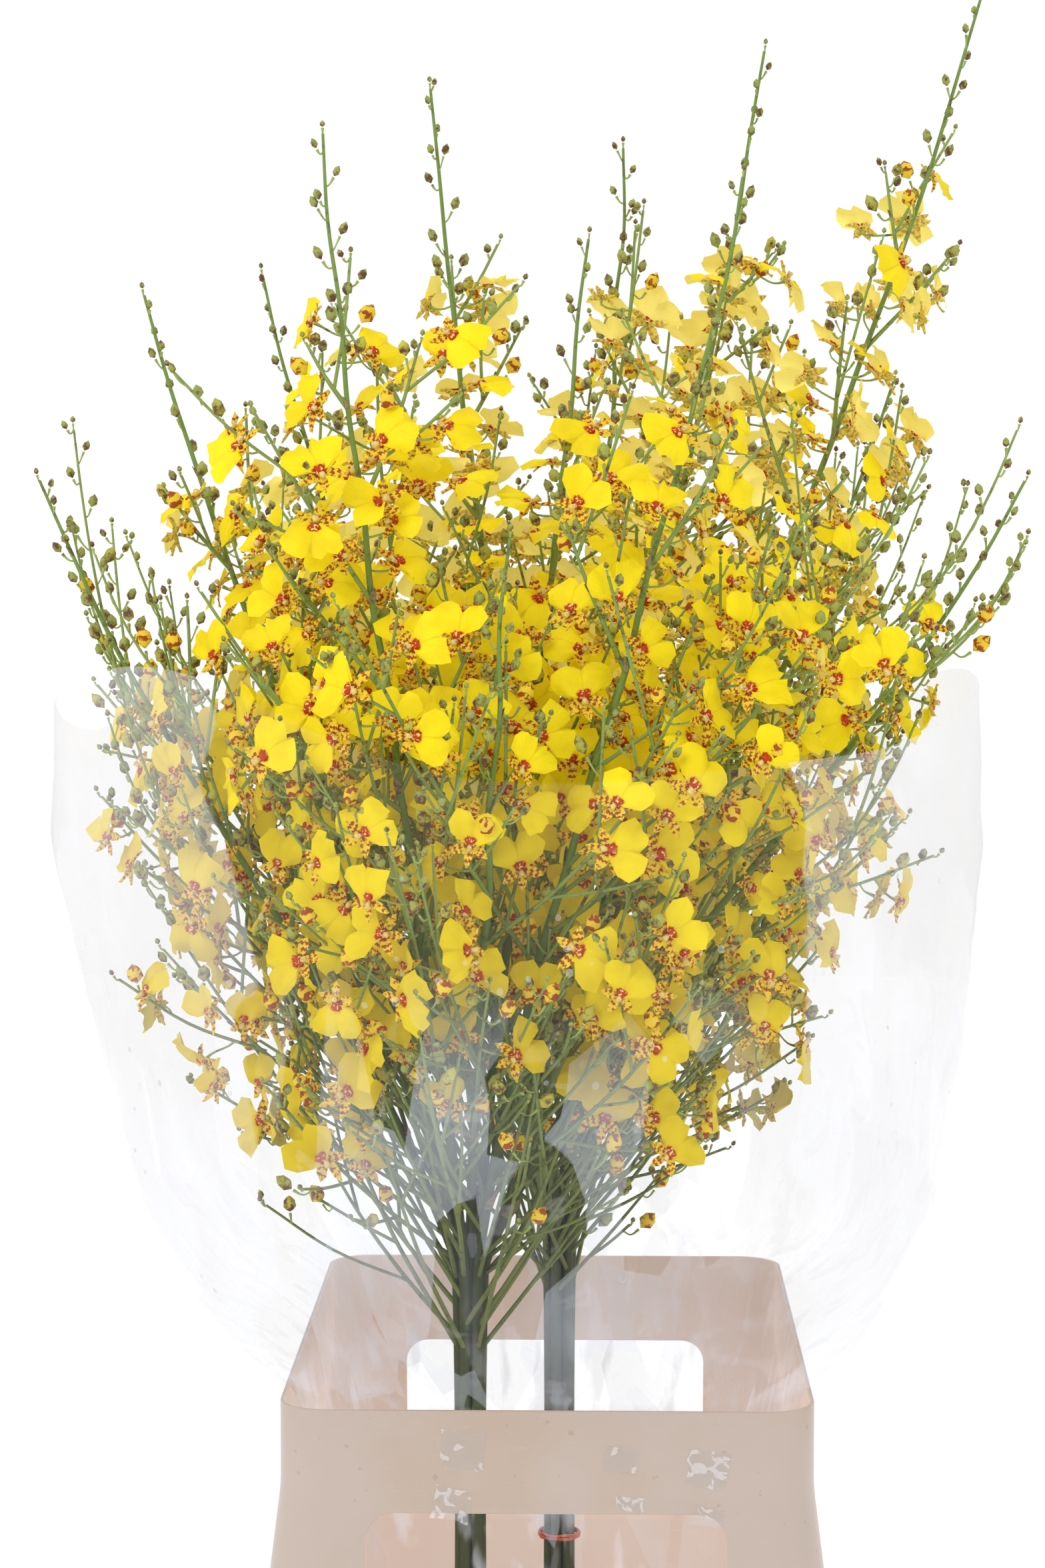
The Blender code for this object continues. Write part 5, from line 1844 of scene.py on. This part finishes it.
def cone(name, sides, sizes, place, lean, materials):
    """A blunt cone from its two radii and its height, with the material of its own name."""
    foot, top, height = sizes
    bpy.ops.mesh.primitive_cone_add(
        vertices=sides, radius1=foot, radius2=top, depth=height, location=place, rotation=(lean, 0, 0)
    )
    item = named(name)
    item.data.materials.append(materials[name])
    settle(item)
    return item


def model_flower(number, materials):
    """One open flower, facing +Z with its lip towards -Y."""
    rng = random.Random(number + 300)
    shape = lip_shape(number + 0.3, rng.uniform(0.0, 0.0075), rng.uniform(-0.003, 0.006))
    parts = [grid_piece("lip", 14, 3, shape, materials["lip"])]
    for count, (degrees, length, width, curl) in enumerate(TEPALS):
        degrees += rng.uniform(-9, 9)
        length *= rng.uniform(0.92, 1.15)
        curl += rng.uniform(-0.003, 0.003)
        shape = tepal_shape(degrees, length, width, curl, number * 5 + count)
        parts.append(grid_piece("tepal", 2, 3, shape, materials["tepal"]))
    callus = cone("callus", 8, (0.0036, 0.0016, 0.0020), (0, -0.0008, 0.0012), 0, materials)
    select_faces(callus, lambda normal: normal.z > 0.9)
    bpy.ops.transform.translate(value=(0.0, -0.0012, 0.0003))
    object_mode()
    callus.data.vertices.foreach_set("co", crimp(callus.data, number))
    column = cone("column", 5, (0.0012, 0.0019, 0.0044), (0, 0.0026, 0.0022), -0.75, materials)
    flower = join(parts + [callus, column], f"flower_{number}")
    bpy.ops.object.shade_smooth()
    return flower


def crimp(mesh, number):
    """The callus's points with its rim drawn in at every other one, like a rosette."""
    spots = []
    wide = 1.15 + 0.1 * math.sin(number)
    for count, vertex in enumerate(mesh.vertices):
        share = 0.78 if count % 4 < 2 else 1.12
        spots.extend((vertex.co.x * share * wide, vertex.co.y * share, vertex.co.z))
    return spots


BUD_WIDTH = 2.4  # against its radius in the layout
OPENS_AT = 0.80  # ripeness from which a bud is drawn as opening
BUD_FULLNESS = (0.0, 0.62, 0.98, 0.86, 0.42, 0.0)  # at each ring of a bud, from its foot


def model_bud(material):
    """A closed bud: a pointed, faintly ribbed egg of length 1 along Z."""
    deselect()
    bpy.ops.mesh.primitive_uv_sphere_add(segments=6, ring_count=5, radius=0.5, location=(0, 0, 0.5))
    bud = named("bud")
    settle(bud)
    for vertex in bud.data.vertices:
        z = vertex.co.z
        turn = math.atan2(vertex.co.y, vertex.co.x)
        fullness = BUD_FULLNESS[round(z * 5)] if 0.01 < z < 0.99 else 0.0
        rib = 1.0 + 0.09 * math.cos(3 * turn)
        flat = Vector((vertex.co.x, vertex.co.y, 0.0))
        if flat.length > 1e-6:
            flat = flat.normalized() * 0.5 * fullness * rib
        vertex.co = (flat.x, flat.y, z)
    bud.data.materials.append(material)
    bpy.ops.object.shade_smooth()
    return bud


def model_opening_bud(material):
    """A fat yellow bud with barred tepals that only begins to open, of length 1 along Z."""
    bud = model_bud(material)
    for vertex in bud.data.vertices:
        if vertex.co.z > 0.7:
            vertex.co.x *= 1.5
            vertex.co.y *= 1.15
    return bud


def flower_place(pose, size):
    """Where a flower's own frame stands in the world."""
    centre, right, up, face = pose
    turn = Matrix((right, up, face)).transposed().to_4x4()
    return Matrix.Translation(Vector(centre)) @ turn @ Matrix.Scale(size, 4)


def model_flowers(number, spray, flowers):
    """All flowers of one spray."""
    rng = random.Random(number + 40)
    copies = []
    for _, pose in spray["flowers"]:
        model = flowers[rng.randrange(len(flowers))]
        place = flower_place(pose, rng.uniform(*FLOWER_SIZES))
        copies.append(copy_to(model, place, rng.random()))
    finish_piece(join(copies, spray_name(number) + "_flowers"), "spray", None, spray_name(number))


def model_buds(number, spray, bud, opening):
    """All buds of one spray; the fattest of them begin to open."""
    rng = random.Random(number + 60)
    copies = []
    for foot, tip, radius in spray["buds"]:
        neck, way = (Vector(part) for part in bud_frame(foot, tip))
        place = Matrix.Translation(neck) @ facing(way) @ Matrix.Rotation(rng.uniform(0, TURN), 4, "Z")
        width, length = BUD_WIDTH * radius, way.length
        ripe = min(max((radius - 0.0014) / 0.0018, 0.0), 1.0) * rng.uniform(0.7, 1.1)
        model = bud
        if ripe > OPENS_AT:
            model, width, length = opening, width * 1.25, length * 1.1
        copies.append(copy_to(model, place @ Matrix.Diagonal((width, width, length, 1.0)), ripe))
    finish_piece(join(copies, spray_name(number) + "_buds"), "spray", None, spray_name(number))


# ================================================================ stage
LIT_SPOT = (0, 0, 0.6)  # what both lamps point at


def model_stage(settings):
    """A pale floor, a white surround, soft lights and the camera."""
    deselect()
    bpy.ops.mesh.primitive_plane_add(size=8.0, location=(0.0, 0.0, -0.0005))
    floor = named("floor")
    material, nodes, shader = new_material("floor_paint")
    speck = nodes.noise(nodes.place(), 3.0, 2.0)
    pale = settings.floor_colour
    shader["Base Color"] = nodes.mix(speck, pale, shaded(pale, 0.985))
    shader["Roughness"] = 0.75
    shader["Emission Color"] = pale
    shader["Emission Strength"] = settings.floor_glow
    floor.data.materials.append(material)

    world = bpy.data.worlds.new("white_surround")
    world.use_nodes = True
    sky = Nodes(world.node_tree)
    sky.put(world.node_tree.nodes["Background"].inputs["Color"], (1.0, 1.0, 1.0, 1.0))
    _, _, upward = sky.axes(sky.add("TexCoord").outputs["Generated"])
    lit = sky.add("MapRange", interpolation_type="SMOOTHSTEP")
    sky.put(lit.inputs["Value"], upward)
    lit.inputs["From Min"].default_value = -0.4
    lit.inputs["From Max"].default_value = 0.5
    lit.inputs["To Min"].default_value = settings.shade
    seen = sky.add("LightPath").outputs["Is Camera Ray"]
    light = sky.times(lit.outputs["Result"], settings.world)
    sky.put(world.node_tree.nodes["Background"].inputs["Strength"], sky.math("MAXIMUM", seen, light))
    bpy.context.scene.world = world
    bpy.context.scene.view_settings.view_transform = "Standard"

    lights = (
        ("key", (-1.4, -1.6, 2.2), settings.key_power, 1.4),
        ("fill", (1.9, -0.9, 1.3), settings.fill_power, 1.6),
    )
    for name, place, power, size in lights:
        data = bpy.data.lights.new(name, "AREA")
        data.energy = power
        data.size = size
        lamp = new_object(name, data)
        lamp.location = place
        lamp.rotation_euler = (Vector(LIT_SPOT) - Vector(place)).to_track_quat("-Z", "Y").to_euler()

    view = bpy.data.cameras.new("front_view")
    view.lens = settings.lens
    view.sensor_width = 36.0
    camera = new_object("front_view", view)
    camera.location = settings.camera_place
    camera.rotation_euler = (math.pi / 2 - settings.camera_pitch, 0.0, settings.camera_turn)
    bpy.context.scene.camera = camera


# ================================================================ operators
class PieceOperator:
    """What the operators share."""

    bl_options = {"REGISTER", "UNDO"}


class ONCIDIUM_OT_stage(PieceOperator, bpy.types.Operator):
    """Adds the floor, the soft lights and the camera"""

    bl_idname = "oncidium.stage"
    bl_label = "Stage"

    def execute(self, context):
        model_stage(context.scene.oncidium_stage)
        return {"FINISHED"}


class ONCIDIUM_OT_bucket(PieceOperator, bpy.types.Operator):
    """Models the moulded bucket with its flange"""

    bl_idname = "oncidium.bucket"
    bl_label = "Bucket"

    def execute(self, context):
        model_bucket(context.scene.oncidium_container)
        return {"FINISHED"}


class ONCIDIUM_OT_collar(PieceOperator, bpy.types.Operator):
    """Models the raised collar with its windows, and the tape scraps on it"""

    bl_idname = "oncidium.collar"
    bl_label = "Collar"

    def execute(self, context):
        model_collar(context.scene.oncidium_container)
        model_tape()
        return {"FINISHED"}


class ONCIDIUM_OT_water(PieceOperator, bpy.types.Operator):
    """Gives the water in the bucket its look"""

    bl_idname = "oncidium.water"
    bl_label = "Water"

    def execute(self, context):
        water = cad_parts["water"]
        water.data.materials.clear()
        water.data.materials.append(water_material())
        return {"FINISHED"}


class ONCIDIUM_OT_bands(PieceOperator, bpy.types.Operator):
    """Winds the rubber bands round the two bunches"""

    bl_idname = "oncidium.bands"
    bl_label = "Rubber Bands"

    def execute(self, context):
        model_bands(context.scene.oncidium_container)
        return {"FINISHED"}


class ONCIDIUM_OT_sleeve(PieceOperator, bpy.types.Operator):
    """Models the film sleeve and the drops of water on it"""

    bl_idname = "oncidium.sleeve"
    bl_label = "Film Sleeve"

    def execute(self, context):
        model_sleeve(context.scene.oncidium_film)
        model_droplets(context.scene.oncidium_film)
        return {"FINISHED"}


class ONCIDIUM_OT_stems(PieceOperator, bpy.types.Operator):
    """Models the stems, branches, stalks and scales of every spray"""

    bl_idname = "oncidium.stems"
    bl_label = "Stems"

    def execute(self, context):
        settings = context.scene.oncidium_sprays
        materials = {"stem": stem_material(settings), "bract": bract_material()}
        scale = model_bract()
        for number, spray in enumerate(growth().sprays):
            model_stems(number, spray, settings, materials, scale)
        remove(scale)
        return {"FINISHED"}


class ONCIDIUM_OT_flowers(PieceOperator, bpy.types.Operator):
    """Models a few flowers and sets copies on every spray"""

    bl_idname = "oncidium.flowers"
    bl_label = "Flowers"

    def execute(self, context):
        settings = context.scene.oncidium_sprays
        materials = {
            "lip": lip_material(settings),
            "tepal": tepal_material(settings),
            "callus": callus_material(settings),
            "column": column_material(settings),
        }
        flowers = [model_flower(number, materials) for number in range(FLOWER_KINDS)]
        for number, spray in enumerate(growth().sprays):
            model_flowers(number, spray, flowers)
        remove(*flowers)
        return {"FINISHED"}


class ONCIDIUM_OT_buds(PieceOperator, bpy.types.Operator):
    """Models two buds and sets copies towards the tips of every spray"""

    bl_idname = "oncidium.buds"
    bl_label = "Buds"

    def execute(self, context):
        settings = context.scene.oncidium_sprays
        bud = model_bud(bud_material(settings))
        opening = model_opening_bud(tepal_material(settings, "opening_bud"))
        for number, spray in enumerate(growth().sprays):
            model_buds(number, spray, bud, opening)
        remove(bud, opening)
        return {"FINISHED"}


OPERATORS = (
    ONCIDIUM_OT_stage,
    ONCIDIUM_OT_bucket,
    ONCIDIUM_OT_collar,
    ONCIDIUM_OT_water,
    ONCIDIUM_OT_bands,
    ONCIDIUM_OT_sleeve,
    ONCIDIUM_OT_stems,
    ONCIDIUM_OT_flowers,
    ONCIDIUM_OT_buds,
)
SETTINGS = {
    "oncidium_container": OncidiumContainerSettings,
    "oncidium_film": OncidiumFilmSettings,
    "oncidium_sprays": OncidiumSpraySettings,
    "oncidium_stage": OncidiumStageSettings,
}


class ONCIDIUM_PT_panel(bpy.types.Panel):
    """Lists the settings and the operators"""

    bl_idname = "ONCIDIUM_PT_panel"
    bl_label = "Oncidium Sprays"
    bl_space_type = "VIEW_3D"
    bl_region_type = "UI"
    bl_category = "Oncidium"

    def draw(self, context):
        for operator in OPERATORS:
            self.layout.operator(operator.bl_idname)
        for name, kind in SETTINGS.items():
            box = self.layout.box()
            box.label(text=kind.__doc__)
            for field in kind.__annotations__:
                box.prop(getattr(context.scene, name), field)


def register():
    for kind in SETTINGS.values():
        bpy.utils.register_class(kind)
    for name, kind in SETTINGS.items():
        setattr(bpy.types.Scene, name, PointerProperty(type=kind))
    for kind in OPERATORS + (ONCIDIUM_PT_panel,):
        bpy.utils.register_class(kind)


def unregister():
    for kind in (ONCIDIUM_PT_panel,) + OPERATORS[::-1]:
        bpy.utils.unregister_class(kind)
    for name in SETTINGS:
        delattr(bpy.types.Scene, name)
    for kind in SETTINGS.values():
        bpy.utils.unregister_class(kind)


def main():
    register()
    bpy.ops.oncidium.stage()
    bpy.ops.oncidium.bucket()
    bpy.ops.oncidium.collar()
    bpy.ops.oncidium.water()
    bpy.ops.oncidium.bands()
    bpy.ops.oncidium.sleeve()
    bpy.ops.oncidium.stems()
    bpy.ops.oncidium.flowers()
    bpy.ops.oncidium.buds()
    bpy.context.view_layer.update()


if __name__ == "__main__":
    main()
